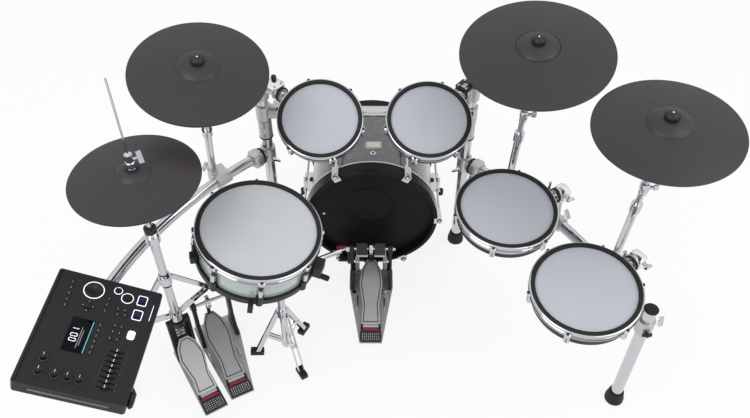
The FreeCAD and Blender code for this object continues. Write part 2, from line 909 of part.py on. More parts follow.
def toms():
    """Four tom pads and their mounts on the rack."""
    spots = {side: raised(spot, size.tom_mount_height) for side, spot in POSTS.items()}
    pads = [
        Tom("left_tom", "left_tom", "rack_tom_radius", spots["left"], UP),
        Tom("right_tom", "right_tom", "rack_tom_radius", spots["right"], UP),
        floor_tom("floor_tom_1", "first_floor_tom"), floor_tom("floor_tom_2", "second_floor_tom")]
    mounts = []
    for pad in pads:
        pad.hoop()
        pad.head()
        pad.fitted_shell()
        mounts.append(pad.mount("tube_radius", "bow_gap"))
    for pad in pads[:2]:
        wing_screw(sleeve_face(pad.foot, AWAY, size.tube_radius), AWAY)
    for pad in pads[2:]:
        out = RIGHT_ARM.normal(MOUNT_SHARES[pad.label])
        wing_screw(sleeve_face(pad.foot, out, size.tube_radius), out)
    group("tom_mounts", mounts)
    return {pad.label: pad for pad in pads}


# Snare pad and its stand

SNARE = Pad("snare", "snare", "snare_radius", 8)
LEVEL = math.radians(size.snare_facing)
TILTER_AXIS = Vector(math.cos(LEVEL), math.sin(LEVEL), 0)
STAND = floor_spot(size.stand_x, size.stand_y, 0)
TILTER = raised(STAND, size.tilter_height)


def strip(start, end, shift, width, thickness):
    """A flat strip on edge between two points, moved sideways by shift."""
    way = end - start
    turn = Rotation(UP, math.degrees(math.atan2(way.y, way.x)))
    turn = turn.multiply(Rotation(AWAY, math.degrees(math.acos(way.z / way.Length))))
    side = turn.multVec(AWAY) * shift
    box = block(Placement(start + side, turn), width, thickness, width, (0.5, 0.5, 0))
    box.setExpression("Height", None)
    box.Height = way.Length
    return box


def snare_pad():
    """The snare pad with its base ring, lugs and jack box."""
    SNARE.hoop()
    SNARE.head()
    node("snare_shell", SNARE.shell("snare_depth"))
    top = "-snare_depth - seat_gap"
    foot = f"{top} - snare_ring_height"
    outer, inner = "snare_radius + hoop_wall", f"{SNARE.shell_radius} - snare_ring_width"
    body = turned(SNARE.frame, [(inner, foot), (outer, foot), (outer, top), (inner, top)])
    lug = padded(body, SNARE.tongue("snare_radius - hoop_wall", "snare_radius + hoop_wall", "snare_lug_radius"),
                 f"{SNARE.hoop_foot} - seat_gap - ({foot})", foot)
    lobe = padded(body, SNARE.tongue("snare_radius - hoop_wall", "snare_radius + hoop_wall", "snare_lug_width / 2"),
                  "snare_ring_height * 2", foot)
    repeated(body, [lug, lobe], SNARE.lugs)
    turn = Placement(Vector(), Rotation(UP, -180 / SNARE.lugs))
    shift = Placement(Vector(number(outer), 0, number(foot)), Rotation())
    place = SNARE.frame.multiply(turn).multiply(shift)
    box = block(place, "snare_box_depth", "snare_box_width", "snare_box_height", (0.1, 0.5, 0))
    node("snare_lugs", fused([body, box]))


def snare_basket():
    """The basket that grips the pad, down to its half of the tilter."""
    low = number("-(snare_depth + snare_ring_height + basket_drop)")
    hub_top = Vector(0, 0, low)
    place = SNARE.frame
    hub = bar(place.multVec(hub_top - UP * size.basket_hub_height), place.multVec(hub_top), "basket_hub_radius")
    things = [hub]
    reach = number("snare_radius + hoop_wall + seat_gap")
    under = number("-(snare_depth + snare_ring_height + seat_gap * 2 + basket_lip_height)")
    for turn in range(3):
        angle = math.radians(size.basket_turn + turn * 120)
        out = Vector(math.cos(angle), math.sin(angle), 0)
        start = hub_top - UP * (size.basket_hub_height / 2)
        end = out * (reach + size.basket_grip_depth / 2) + UP * (low + size.basket_arm_radius * 2)
        things.append(bar(place.multVec(start), place.multVec(end), "basket_arm_radius"))
        grip = Placement(out * reach + UP * low, Rotation(UP, math.degrees(angle)))
        things.append(block(place.multiply(grip), "basket_grip_depth", "basket_arm_width", "basket_grip_height",
                            (0, 0.5, 0)))
        lip = Placement(out * reach + UP * under, Rotation(UP, math.degrees(angle)))
        things.append(block(place.multiply(lip), "basket_lip * 2", "basket_arm_width", "basket_lip_height",
                            (0.5, 0.5, 0)))
    gap = TILTER_AXIS * (size.seat_gap / 2)
    half = TILTER_AXIS * (size.tilter_width / 2)
    things.append(bar(TILTER + gap, TILTER + half, "tilter_radius"))
    things.append(bar(TILTER + half * 0.5, place.multVec(hub_top - UP * size.basket_hub_height * 0.5), "tilter_neck"))
    bore = bar(TILTER - half * 2, TILTER + half * 2, "tilter_pin + running_gap")
    stand_half = bar(TILTER - half * 2, TILTER + gap, "tilter_radius + seat_gap")
    node("snare_basket", less(fused(things), [bore, stand_half]))


def tripod(label, middle, radius, hub, collar, legs):
    """Folding legs of (turn, reach): doubled strips on two collars, each leg with its brace."""
    things = []
    for height in (hub, collar):
        centre = raised(middle, height)
        half = UP * (size.stand_collar_length / 2)
        things.append(bar(centre - half, centre + half, f"{radius} + stand_collar_wall"))
    wall = number(f"{radius} + stand_collar_wall") - size.stand_collar_wall / 2
    for turn, reach in legs:
        out = Vector(math.cos(math.radians(turn)), math.sin(math.radians(turn)), 0)
        top = raised(middle, hub) + out * wall
        foot = middle + out * reach + UP * (size.rubber_toe_height / 2)
        knee = top + (foot - top) * BRACE_SHARES[label]
        low = raised(middle, collar) + out * wall
        for side in (-1, 1):
            spread = side * size.strip_spread
            things.append(strip(top, foot, spread, "strip_width", "strip_thickness"))
            inner = side * (size.strip_spread - size.strip_thickness)
            things.append(strip(low, knee, inner, "strip_width", "strip_thickness"))
        cross = Vector(-out.y, out.x, 0) * (size.strip_spread + size.strip_thickness)
        things.append(bar(knee - cross, knee + cross, "bolt_radius"))
        toe = Placement(middle + out * reach, Rotation(UP, turn))
        things.append(block(toe, "rubber_toe_length", "rubber_toe_width", "rubber_toe_height"))
    run = UP * size.stand_collar_length
    bore = bar(raised(middle, collar) - run, raised(middle, hub) + run, f"{radius} + seat_gap")
    node(label, less(fused(things), [bore]))


def snare_stand():
    """The stand's tube with its half of the tilter, and its legs."""
    half = TILTER_AXIS * (size.tilter_width / 2)
    gap = TILTER_AXIS * (size.seat_gap / 2)
    top = TILTER - UP * (size.tilter_radius * 1.4)
    low = raised(STAND, size.stand_tube_foot)
    wing = TILTER + half + gap * 2
    screw = wing + TILTER_AXIS * size.wing_thickness
    things = [bar(low, top, "stand_tube_radius"), bar(TILTER - half, TILTER - gap, "tilter_radius"),
              bar(top - half * 0.5 - UP * size.tilter_radius, TILTER - half * 0.5, "tilter_neck"),
              bar(TILTER - half, screw, "tilter_pin"),
              block(along(wing, screw), "wing_span", "wing_thickness", "wing_thickness")]
    node("snare_stand", fused(things))
    legs = [(size.stand_leg_turn - 90 + 120 * turn, size.stand_leg_reach) for turn in range(3)]
    tripod("snare_legs", STAND, "stand_tube_radius", size.stand_hub_height, size.stand_collar_height, legs)


# Kick drum

KICK_NORMAL = Vector(0, -math.cos(math.radians(size.kick_tilt)), math.sin(math.radians(size.kick_tilt)))
KICK = Placement(floor_spot(0, size.kick_y, size.kick_z), Rotation(UP, KICK_NORMAL))
KICK_BACK = Placement(KICK.Base - KICK_NORMAL * size.kick_depth, Rotation(UP, KICK_NORMAL * -1))
KICK_SIDES = (KICK, KICK_BACK)


def kick_drum():
    """Shell, two hoops and two heads."""
    rabbet, lip = "kick_hoop_radius - kick_hoop_wall", "kick_hoop_radius - kick_hoop_lip"
    hoops = [turned(side, [
        (rabbet, "-kick_hoop_width"), ("kick_hoop_radius - kick_edge", "-kick_hoop_width"),
        ("kick_hoop_radius", "-kick_hoop_width + kick_edge"), ("kick_hoop_radius", "-kick_edge"),
        ("kick_hoop_radius - kick_edge", "0"), (lip, "0"), (lip, "-kick_lip_depth"), (rabbet, "-kick_lip_depth")])
        for side in KICK_SIDES]
    group("kick_hoops", hoops)
    top = "-(kick_lip_depth + seat_gap)"
    film, ring = f"{top} - kick_film", f"{top} - kick_ring_depth"
    outer, inner = f"{rabbet} - seat_gap", "kick_shell_radius + seat_gap * 4"
    heads = [turned(side, [("0", film), (inner, film), (inner, ring), (outer, ring), (outer, top), ("0", top)])
             for side in KICK_SIDES]
    group("kick_heads", heads)
    edge = f"{film} - seat_gap"
    back = f"-kick_depth - ({edge})"
    node("kick_shell", turned(KICK, [
        ("kick_shell_radius - kick_shell_wall", back), ("kick_shell_radius", back),
        ("kick_shell_radius", edge), ("kick_shell_radius - kick_shell_wall", edge)]))


def kick_claws():
    """Claw hooks, tension rods and lugs, one joined set at each place round the shell."""
    sets = []
    for turn in CLAW_TURNS:
        spin = Placement(Vector(), Rotation(UP, turn))
        things = []
        rod_at = number("kick_hoop_radius + claw_thickness + claw_rod_radius")
        place = KICK.multiply(spin)
        start = place.multVec(Vector(rod_at, 0, 0))
        end = place.multVec(Vector(rod_at, 0, -size.kick_depth))
        things.append(bar(start, end, "claw_rod_radius"))
        middle, half = (start + end) * 0.5, KICK_NORMAL * (size.kick_lug_length / 2)
        things.append(bar(middle - half, middle + half, "kick_lug_radius"))
        seat = number("kick_shell_radius + seat_gap")
        foot = Placement(Vector(seat, 0, -size.kick_depth / 2), Rotation())
        things.append(block(place.multiply(foot), f"{rod_at - seat}", "kick_lug_foot", "kick_lug_length",
                            (0, 0.5, 0.5)))
        for side in KICK_SIDES:
            flip = 1 if side is KICK else -1
            turned_side = side.multiply(Placement(Vector(), Rotation(UP, turn * flip)))
            out = Placement(Vector(size.kick_hoop_radius + size.seat_gap, 0, -size.claw_reach), Rotation())
            things.append(block(turned_side.multiply(out), "claw_thickness + claw_rod_radius * 2 + seat_gap",
                                "claw_width", "claw_reach + claw_thickness + seat_gap", (0, 0.5, 0)))
            hook = Placement(Vector(size.kick_hoop_radius - size.claw_hook, 0, size.seat_gap), Rotation())
            things.append(block(turned_side.multiply(hook), "claw_hook + claw_thickness", "claw_width",
                                "claw_thickness", (0, 0.5, 0)))
        sets.append(fused(things))
    group("kick_claws", sets)


def kick_spurs():
    """Two spurs that steady the kick on the floor."""
    spurs = []
    for side in (-1, 1):
        turn = -size.spur_turn if side > 0 else 180 + size.spur_turn
        place = KICK.multiply(Placement(Vector(), Rotation(UP, turn)))
        place = place.multiply(Placement(Vector(number("kick_shell_radius + seat_gap"), 0, -size.spur_station),
                                         Rotation()))
        bracket = block(place, "spur_bracket_depth", "spur_bracket_width", "spur_bracket_length", (0, 0.5, 0.5))
        hinge = place.multVec(Vector(size.spur_bracket_depth * 0.7, 0, 0))
        tip = Vector(hinge.x + side * size.spur_splay, hinge.y + size.spur_forward, 0)
        way = (hinge - tip).normalize()
        start = tip + UP * (size.spur_tip_height / 2)
        foot = bar(tip, tip + UP * size.spur_tip_height, "spur_tip_radius")
        wing_at = place.multVec(Vector(size.spur_bracket_depth * 0.7, 0, size.spur_bracket_length / 2))
        screw = bar(wing_at - KICK_NORMAL * size.screw_bite, wing_at + KICK_NORMAL * size.screw_radius * 2,
                    "screw_radius")
        wing = block(Placement(wing_at + KICK_NORMAL * size.screw_radius, KICK.Rotation), "wing_thickness",
                     "wing_span", "wing_height")
        spurs.append(fused([bracket, bar(start, hinge + way * size.spur_rod_radius, "spur_rod_radius"), foot,
                            screw, wing]))
    group("kick_spurs", spurs)


# Cymbals on their posts

class Cymbal:
    """A cymbal pad and the post that carries it."""

    def __init__(self, label, radius, arm, offset):
        self.label = label
        self.radius = radius
        self.arm = arm
        self.share = share = POST_SHARES[label]
        self.frame = frame_of(label)
        self.normal = self.frame.Rotation.multVec(UP)
        self.base = arm.point(share) + arm.normal(share) * offset
        self.seat = "cymbal_bow + cymbal_bell_height - cymbal_thickness"
        self.pivot = self.frame.multVec(Vector(0, 0, number(f"{self.seat} + cymbal_thickness / 2")))
        self.knuckle = self.pivot - self.normal * size.tilt_drop

    def pad(self):
        """The bowed disc."""
        top = "cymbal_bow + cymbal_bell_height"
        node(self.label, turned(self.frame, [
            (self.radius, "-cymbal_edge"), (self.radius, "0", 0.02), ("cymbal_bell_radius", "cymbal_bow", 0.12),
            ("cymbal_flat_radius", top), ("cymbal_hole", top), ("cymbal_hole", self.seat),
            ("cymbal_flat_radius", self.seat, -0.12), ("cymbal_bell_radius", "cymbal_bow - cymbal_thickness", -0.02)]))

    def post(self):
        """The leaning tube, its tilter, the stud and the felt under the cymbal."""
        way = (self.knuckle - self.base).normalize()
        tail = self.base - way * size.post_tail
        tube_end = self.knuckle - way * size.tilt_head_radius
        middle = self.base + (self.knuckle - self.base) * 0.5
        axis = way.cross(self.normal)
        axis = RIGHT if axis.Length < 0.05 else axis.normalize()
        half = axis * (size.tilt_head_width / 2)
        stud_end = self.pivot + self.normal * (size.cymbal_thickness + size.stud_top)
        seat = f"{self.seat} - cymbal_gap"
        felt = turned(self.frame, [
            ("0", f"{seat} - felt_crown - felt_height"), ("felt_radius", f"{seat} - felt_crown - felt_height"),
            ("felt_radius", f"{seat} - felt_crown"), ("stud_radius + overrun / 2", seat), ("0", seat)])
        return fused([
            bar(tail, middle, "cymbal_pole_radius"), bar(middle, tube_end, "cymbal_tube_radius"),
            bar(middle - way * size.collar_length, middle + way * size.overrun, "collar_radius"),
            bar(tube_end - way * size.overrun, self.knuckle, "cymbal_tube_radius"),
            bar(self.knuckle - half, self.knuckle + half, "tilt_head_radius"),
            bar(self.knuckle, stud_end, "stud_radius"), felt,
            ball(self.pivot, "cymbal_hole - running_gap")])

    def nut(self):
        """The domed nut over the cymbal."""
        bore = "stud_radius + running_gap"
        foot = f"{self.seat} + cymbal_thickness + cymbal_gap"
        top = f"{foot} + nut_height"
        return turned(self.frame, [
            (bore, f"{foot} + overrun / 2"), ("stud_radius + overrun / 2", foot), ("nut_radius", f"{foot} + felt_crown"),
            ("nut_radius", f"{top} - nut_crown * 2", 0.2), ("nut_crown", top), (bore, top)])

    def clamp(self):
        """The clamp that holds the post beside its arm."""
        way = self.knuckle - self.base
        clamp((self.arm.point(self.share), self.arm.way(self.share), "tube_radius", "bow_gap"),
              (self.base, way.normalize(), "cymbal_pole_radius", "seat_gap"))
        out = (self.base - self.arm.point(self.share)).normalize()
        wing_screw(sleeve_face(self.base, out, size.cymbal_pole_radius), out)


CYMBALS = [Cymbal("left_crash", "crash_radius", LEFT_ARM, size.clamp_spacing),
           Cymbal("ride", "ride_radius", RIGHT_ARM, -size.clamp_spacing),
           Cymbal("right_crash", "crash_radius", RIGHT_ARM, size.clamp_spacing)]


def cymbals():
    """Three cymbals, their posts and nuts."""
    for cymbal in CYMBALS:
        cymbal.pad()
        cymbal.clamp()
    group("cymbal_posts", [cymbal.post() for cymbal in CYMBALS])
    group("cymbal_nuts", [cymbal.nut() for cymbal in CYMBALS])


# Foot pedals

class Pedal:
    """A foot pedal in its own frame: X across, +Y away from the foot, the origin on the floor."""

    def __init__(self, place, hinge, toe, toe_height):
        self.place = place
        self.hinge = hinge
        self.run = f"{toe} - ({hinge})"
        self.rise = f"{toe_height} - hinge_height"
        self.slope = math.degrees(math.atan2(number(self.rise), number(self.run)))
        self.length = f"sqrt(({self.run})^2 + ({self.rise})^2)"
        self.axis_spot = self.at(0, number(hinge), size.hinge_height)
        self.across = place.Rotation.multVec(RIGHT)
        self.board_frame = Placement(self.axis_spot, place.Rotation.multiply(Rotation(RIGHT, self.slope)))

    def at(self, x, y, z):
        """A place in the pedal's frame."""
        return self.place.multVec(Vector(x, y, z))

    def cross_bar(self, low, high, y, z, radius):
        """A round bar across the pedal."""
        return bar(self.at(low, y, z), self.at(high, y, z), radius)

    def box(self, x, y, z):
        """A block between three (low, high) pairs of sums of aliases."""
        corner = Placement(self.at(*(number(pair[0]) for pair in (x, y, z))), self.place.Rotation)
        return block(corner, *(f"{pair[1]} - ({pair[0]})" for pair in (x, y, z)), (0, 0, 0))

    def heel(self, end):
        """The heel block, the hinge's outer knuckles and its pin."""
        hinge, inner = number(self.hinge), "heel_half - knuckle_width"
        clear = f"{self.hinge} - hinge_barrel_radius - overrun / 2"
        things = [self.box(("-heel_half", "heel_half"), (end, clear), ("0", "heel_block_height"))]
        for low, high in (("-heel_half", f"-({inner})"), (inner, "heel_half")):
            things.append(self.cross_bar(number(low), number(high), hinge, size.hinge_height, "hinge_barrel_radius"))
            things.append(self.box((low, high), (f"{clear} - hinge_barrel_radius", f"{self.hinge} + hinge_pin_radius"),
                                   ("0", "hinge_height")))
        things.append(self.cross_bar(-size.heel_half, size.heel_half, hinge, size.hinge_height, "hinge_pin_radius"))
        return things

    def board(self, extras):
        """The footboard with its hinge barrel, and whatever is joined to it."""
        inner = "heel_half - knuckle_width - seat_gap"
        right = [(inner, "0"), (inner, "knuckle_width")]
        right += [(f"board_half * {wide}", f"({self.length}) * {share}") for wide, share in BOARD_SHARES]
        left = [(f"-({x})", y) for x, y in reversed(right)]
        body = new_body(self.board_frame)
        padded(body, right + left, "board_thickness", "-board_thickness / 2")
        half = number(inner)
        barrel = self.cross_bar(-half, half, number(self.hinge), size.hinge_height, "hinge_barrel_radius")
        bore = self.cross_bar(-size.board_half, size.board_half, number(self.hinge), size.hinge_height,
                              "hinge_pin_radius + running_gap")
        return less(fused([body, barrel] + extras), [bore])

    def plate(self, heel, wide, front, low, high):
        """The floor plate, narrow at the heel and wide under the towers."""
        body = new_body(self.place)
        padded(body, [("-pedal_heel_half", heel), ("pedal_heel_half", heel), (high, wide), (high, front),
                      (low, front), (low, wide)], "pedal_plate")
        return body


class Tower:
    """An upright beside the footboard with the bearing of the cam's axle."""

    def __init__(self, pedal, middle):
        self.pedal = pedal
        self.middle = middle

    def solids(self):
        """The flared upright and its bearing boss."""
        low, spot = f"{self.middle} - tower_width / 2", number(self.middle)
        body = new_body(self.pedal.place)
        foot, waist = "tower_depth * 1.5", "tower_depth / 2"
        padded(body, [
            (f"pedal_shaft_y - {foot}", "0"), (f"pedal_shaft_y + {foot}", "0"),
            (f"pedal_shaft_y + {foot}", "pedal_plate * 2"), (f"pedal_shaft_y + {waist}", "pedal_shaft_height / 2"),
            (f"pedal_shaft_y + {waist}", "pedal_shaft_height"), (f"pedal_shaft_y - {waist}", "pedal_shaft_height"),
            (f"pedal_shaft_y - {waist}", "pedal_shaft_height / 2"), (f"pedal_shaft_y - {foot}", "pedal_plate * 2")],
            "tower_width", low, "YZ_Plane")
        half = size.tower_width / 2 + size.overrun
        boss = self.pedal.cross_bar(spot - half, spot + half, size.pedal_shaft_y, size.pedal_shaft_height,
                                    "tower_boss_radius")
        return [body, boss]


KICK_PEDAL = Pedal(yawed(floor_spot(0, 0, 0), 0), "-pedal_hinge", "pedal_toe_y", "pedal_toe_height")
JOINT = KICK_PEDAL.at(-size.joint_side, size.pedal_shaft_y, size.pedal_shaft_height)
SLAVE_TURN = Rotation(UP, size.slave_yaw)
SLAVE_SPOT = JOINT - SLAVE_TURN.multVec(Vector(size.drive_reach, size.pedal_shaft_y, size.pedal_shaft_height))
SLAVE_PEDAL = Pedal(Placement(SLAVE_SPOT, SLAVE_TURN), "-pedal_hinge", "pedal_toe_y", "pedal_toe_height")


def chain(pedal):
    """The chain from the board's toe up the front of the cam, as one strip."""
    top = "pedal_shaft_height"
    return pedal.box(("-chain_width / 2", "chain_width / 2"),
                     ("pedal_toe_y - chain_thickness", "pedal_toe_y"), ("pedal_toe_height - chain_thickness", top))


def axle_bore(pedal):
    """The hole for the axle through every bearing."""
    far = size.pedal_wide_half * 2
    return pedal.cross_bar(-far, far, size.pedal_shaft_y, size.pedal_shaft_height, "axle_radius + running_gap")


def hoop_clamp():
    """The jaws that grip the kick's hoop, and the lever that closes them."""
    pedal, throat = KICK_PEDAL, "jaw_height + jaw_throat"
    behind = ("-jaw_behind", "-jaw_behind + jaw_column")
    rod_at = number(f"{throat} + jaw_thickness * 1.5")
    return [
        pedal.box(("-jaw_half", "jaw_half"), ("pedal_front_y - overrun", "jaw_reach"), ("0", "jaw_height")),
        pedal.box(("-jaw_column", "jaw_column"), behind, ("jaw_height", f"{throat} + jaw_thickness * 2")),
        pedal.box(("-jaw_half", "jaw_half"), ("-jaw_behind", "kick_y + kick_lip_depth / 2"), (throat, f"{throat} + jaw_thickness")),
        pedal.cross_bar(-size.tower_half, 0, -size.jaw_behind + size.jaw_column / 2, rod_at, "bolt_radius"),
        pedal.box(("-tower_half - lever_length", "-tower_half"),
                  ("-jaw_behind - lever_width / 4", "-jaw_behind + lever_width * 3 / 4"),
                  (f"{throat} + jaw_thickness", f"{throat} + jaw_thickness + lever_thickness * 2"))]


def spring_anchor(side):
    """The bracket on a tower that holds the foot of its spring."""
    low, high = sorted((side * (size.rocker_side - size.spring_radius), side * size.tower_half))
    near = "pedal_shaft_y - rocker_reach - spring_radius"
    foot = "pedal_shaft_height - spring_drop - spring_length - spring_cap - spring_wire - seat_gap"
    return KICK_PEDAL.box((f"{low}", f"{high}"), (near, "pedal_shaft_y"), (f"{foot} - rocker_thickness", foot))


def kick_pedal():
    """The pedal at the kick: base, footboard and its beater."""
    pedal = KICK_PEDAL
    things = [pedal.plate("-pedal_heel", "pedal_wide_y", "pedal_front_y", "-pedal_wide_half", "pedal_wide_half")]
    things += pedal.heel("-pedal_heel") + hoop_clamp()
    for side in (-1, 1):
        things += Tower(pedal, f"{side} * tower_half").solids()
        things.append(spring_anchor(side))
    node("kick_pedal_base", less(fused(things), [axle_bore(pedal)]))
    node("kick_footboard", pedal.board([chain(pedal)]))


def beater_parts(side):
    """Hub, rod, head and rocker of the beater on one side of the cam."""
    pedal, y, z = KICK_PEDAL, size.pedal_shaft_y, size.pedal_shaft_height
    hub, lean = side * size.beater_side, math.radians(size.beater_lean)
    half = size.hub_width / 2
    way = Vector(0, -math.sin(lean), math.cos(lean))
    start = pedal.at(hub, y, z)
    head = Placement(start + way * size.beater_reach, Rotation(RIGHT, size.beater_lean))
    body = new_body(head)
    flat = "beater_head_length / 2 - beater_round"
    tall = "beater_head_height / 2 - beater_round"
    full, high = "beater_head_length / 2", "beater_head_height / 2"
    padded(body, [(f"-({flat})", f"-{high}"), (flat, f"-{high}"), (full, f"-({tall})"), (full, tall), (flat, high),
                  (f"-({flat})", high), (f"-{full}", tall), (f"-{full}", f"-({tall})")],
           "beater_head_width", "-beater_head_width / 2", "YZ_Plane")
    rocker = pedal.box((f"{side} * rocker_side - rocker_thickness / 2", f"{side} * rocker_side + rocker_thickness / 2"),
                       ("pedal_shaft_y - rocker_reach - rocker_thickness / 2", "pedal_shaft_y"),
                       ("pedal_shaft_height - rocker_thickness / 2", "pedal_shaft_height + rocker_thickness / 2"))
    return [pedal.cross_bar(hub - half, hub + half, y, z, "hub_radius"),
            bar(start, start + way * size.beater_reach, "beater_rod_radius"), body, rocker]


def beaters():
    """The pedal's own beater with the cam, and the second beater that the drive shaft turns."""
    pedal, y, z = KICK_PEDAL, size.pedal_shaft_y, size.pedal_shaft_height
    end = size.tower_half + size.tower_width / 2 + size.axle_end
    half = size.cam_width / 2
    cam = pedal.cross_bar(-half, half, y, z, "cam_radius - chain_thickness")
    node("kick_beater", fused([pedal.cross_bar(-half, end, y, z, "axle_radius"), cam] + beater_parts(1)))
    inner = -half - size.axle_break
    axle = pedal.cross_bar(-size.joint_side, inner, y, z, "axle_radius")
    cup_start = -(size.tower_half + size.tower_width / 2 + size.overrun + size.seat_gap * 2)
    cup = pedal.cross_bar(-size.joint_side - size.overrun / 2, cup_start, y, z, "joint_radius")
    hollow = ball(JOINT, "joint_ball + seat_gap")
    node("slave_beater", less(fused([axle, cup] + beater_parts(-1)), [hollow]))


def slave_pedal():
    """The second pedal and the shaft that carries its turn to the kick."""
    pedal, y, z = SLAVE_PEDAL, size.pedal_shaft_y, size.pedal_shaft_height
    things = [pedal.plate("-pedal_heel", "pedal_wide_y", "pedal_front_y", "-pedal_narrow_half", "pedal_wide_half")]
    things += pedal.heel("-pedal_heel")
    things += Tower(pedal, "-slave_tower").solids() + Tower(pedal, "tower_half").solids()
    node("slave_pedal_base", less(fused(things), [axle_bore(pedal)]))
    node("slave_footboard", pedal.board([chain(pedal)]))
    half, reach = size.cam_width / 2, size.drive_reach
    outer = size.tower_half + size.tower_width / 2 + size.axle_end
    end = size.slave_tower + size.tower_width / 2 + size.axle_end / 2
    neck = reach - size.joint_length
    node("drive_shaft", fused([
        pedal.cross_bar(-end, outer, y, z, "axle_radius"),
        pedal.cross_bar(-half, half, y, z, "cam_radius - chain_thickness"),
        pedal.cross_bar(outer, outer + size.joint_length, y, z, "joint_radius"),
        pedal.cross_bar(outer, reach / 2 + outer, y, z, "drive_radius"),
        pedal.cross_bar(reach / 2, neck, y, z, "drive_sleeve_radius"),
        pedal.cross_bar(neck - size.joint_length, neck, y, z, "joint_radius"),
        pedal.cross_bar(neck, reach, y, z, "joint_neck"), ball(JOINT, "joint_ball")]))


# Wound springs

def biarc(start, start_way, end, end_way):
    """Two arcs that join two points with the ways given at both."""
    span, ways = end - start, start_way + end_way
    square = 2 * (1 - start_way.dot(end_way))
    linear = span.dot(ways)
    reach = (-linear + math.sqrt(linear ** 2 + square * span.dot(span))) / square
    joint = (start + end + (start_way - end_way) * reach) * 0.5
    arcs = []
    for low, high, corner in ((start, joint, start + start_way * reach), (joint, end, end - end_way * reach)):
        middle = (low + high) * 0.5
        rise = corner - middle
        chord = (high - low).Length / 2
        quarter = math.atan(rise.Length / chord) / 2
        arcs.append(Part.Arc(low, middle + rise.normalize() * chord * math.tan(quarter), high).toShape())
    return arcs


def coil(label, foot, length):
    """A wound spring between two caps."""
    radius, wire = size.spring_radius, size.spring_wire
    steps = int(2 * size.spring_turns)
    pitch = length / size.spring_turns

    def spot(step):
        angle = math.pi * step
        return foot + Vector(radius * math.cos(angle), radius * math.sin(angle), pitch * step / 2)

    def way(step):
        angle = math.pi * step
        return Vector(-radius * math.sin(angle), radius * math.cos(angle), pitch / (2 * math.pi)).normalize()

    edges = []
    for step in range(steps):
        edges += biarc(spot(step), way(step), spot(step + 1), way(step + 1))
    ring = Part.Wire([Part.Circle(spot(0), way(0), wire).toShape()])
    wound = Part.Wire(edges).makePipeShell([ring], True, False)
    print(label, "least gap between turns", round(pitch - 2 * wire, 2))
    winding = doc.addObject("Part::Feature", "winding")
    winding.Shape = wound
    rim = UP * (wire + size.running_gap)
    low, high = foot - rim, foot + UP * length + rim
    stem = high + UP * (size.spring_drop - size.rocker_thickness / 2 - size.seat_gap - wire)
    upper = fused([bar(high, high + UP * size.spring_cap, "spring_radius + spring_wire"),
                   bar(high, stem, "spring_stem")])
    group(label, [winding, bar(low - UP * size.spring_cap, low, "spring_radius + spring_wire"), upper])


def springs():
    """The spring under each rocker."""
    for label, side in (("kick_spring", 1), ("slave_spring", -1)):
        foot = KICK_PEDAL.at(side * size.rocker_side, size.pedal_shaft_y - size.rocker_reach,
                             size.pedal_shaft_height - size.spring_drop - size.spring_length)
        coil(label, foot, size.spring_length)


# Hi-hat

HIHAT = floor_spot(size.hihat_x, size.hihat_y, 0)
HIHAT_PEDAL = Pedal(yawed(HIHAT, size.hihat_yaw), "-hihat_hinge", "-hihat_toe_reach", "hihat_toe_height")


def hihat_cymbal(place):
    """One of the pair, its open side down in its own frame."""
    rise, top = "hihat_bow + cymbal_edge", "hihat_bow + hihat_bell_height + cymbal_edge"
    seat = f"{top} - cymbal_thickness"
    return turned(place, [
        ("hihat_radius", "0"), ("hihat_radius", "cymbal_edge", 0.02), ("hihat_bell_radius", rise, 0.12),
        ("cymbal_flat_radius", top), ("hihat_hole", top), ("hihat_hole", seat), ("cymbal_flat_radius", seat, -0.12),
        ("hihat_bell_radius", f"{rise} - cymbal_thickness", -0.02)])


def hihat_pair():
    """Both cymbals."""
    edge = raised(HIHAT, size.hihat_edge_height)
    node("hihat_top", hihat_cymbal(Placement(edge, Rotation())))
    low = raised(HIHAT, size.hihat_edge_height - size.hihat_opening)
    node("hihat_bottom", hihat_cymbal(Placement(low, Rotation(RIGHT, 180))))


def hihat_stand():
    """The tubes from the pedal's yoke up to the lower cymbal's seat, and the legs."""
    depth = number("hihat_bow + hihat_bell_height + cymbal_edge")
    seat = size.hihat_edge_height - size.hihat_opening - depth - size.seat_gap
    top = size.hihat_tube_top

    def upright(low, high, radius):
        return bar(raised(HIHAT, low), raised(HIHAT, high), radius)

    things = [upright(size.hihat_tube_foot, top, "hihat_tube_radius"),
              upright(top - size.hihat_casting_height / 2, top + size.hihat_casting_height / 2, "hihat_casting_radius"),
              upright(top, seat, "hihat_upper_radius"),
              upright(seat - size.hihat_seat_height, seat, "hihat_seat_radius"),
              upright(seat, seat + size.cymbal_thickness, "hihat_hole - seat_gap")]
    guide = seat - size.hihat_seat_height
    bores = [upright(size.hihat_tube_foot - size.overrun, guide, "hihat_bore"),
             upright(guide - size.overrun, seat + size.cymbal_thickness + size.overrun,
                     "hihat_rod_radius + running_gap")]
    node("hihat_stand", less(fused(things), bores))


def hihat_legs():
    """Two folding legs behind and beside the pedal."""
    legs = list(zip(HIHAT_LEG_TURNS, (size.hihat_back_reach, size.hihat_leg_reach)))
    tripod("hihat_legs", HIHAT, "hihat_tube_radius", size.hihat_collar_height, size.hihat_brace_height, legs)


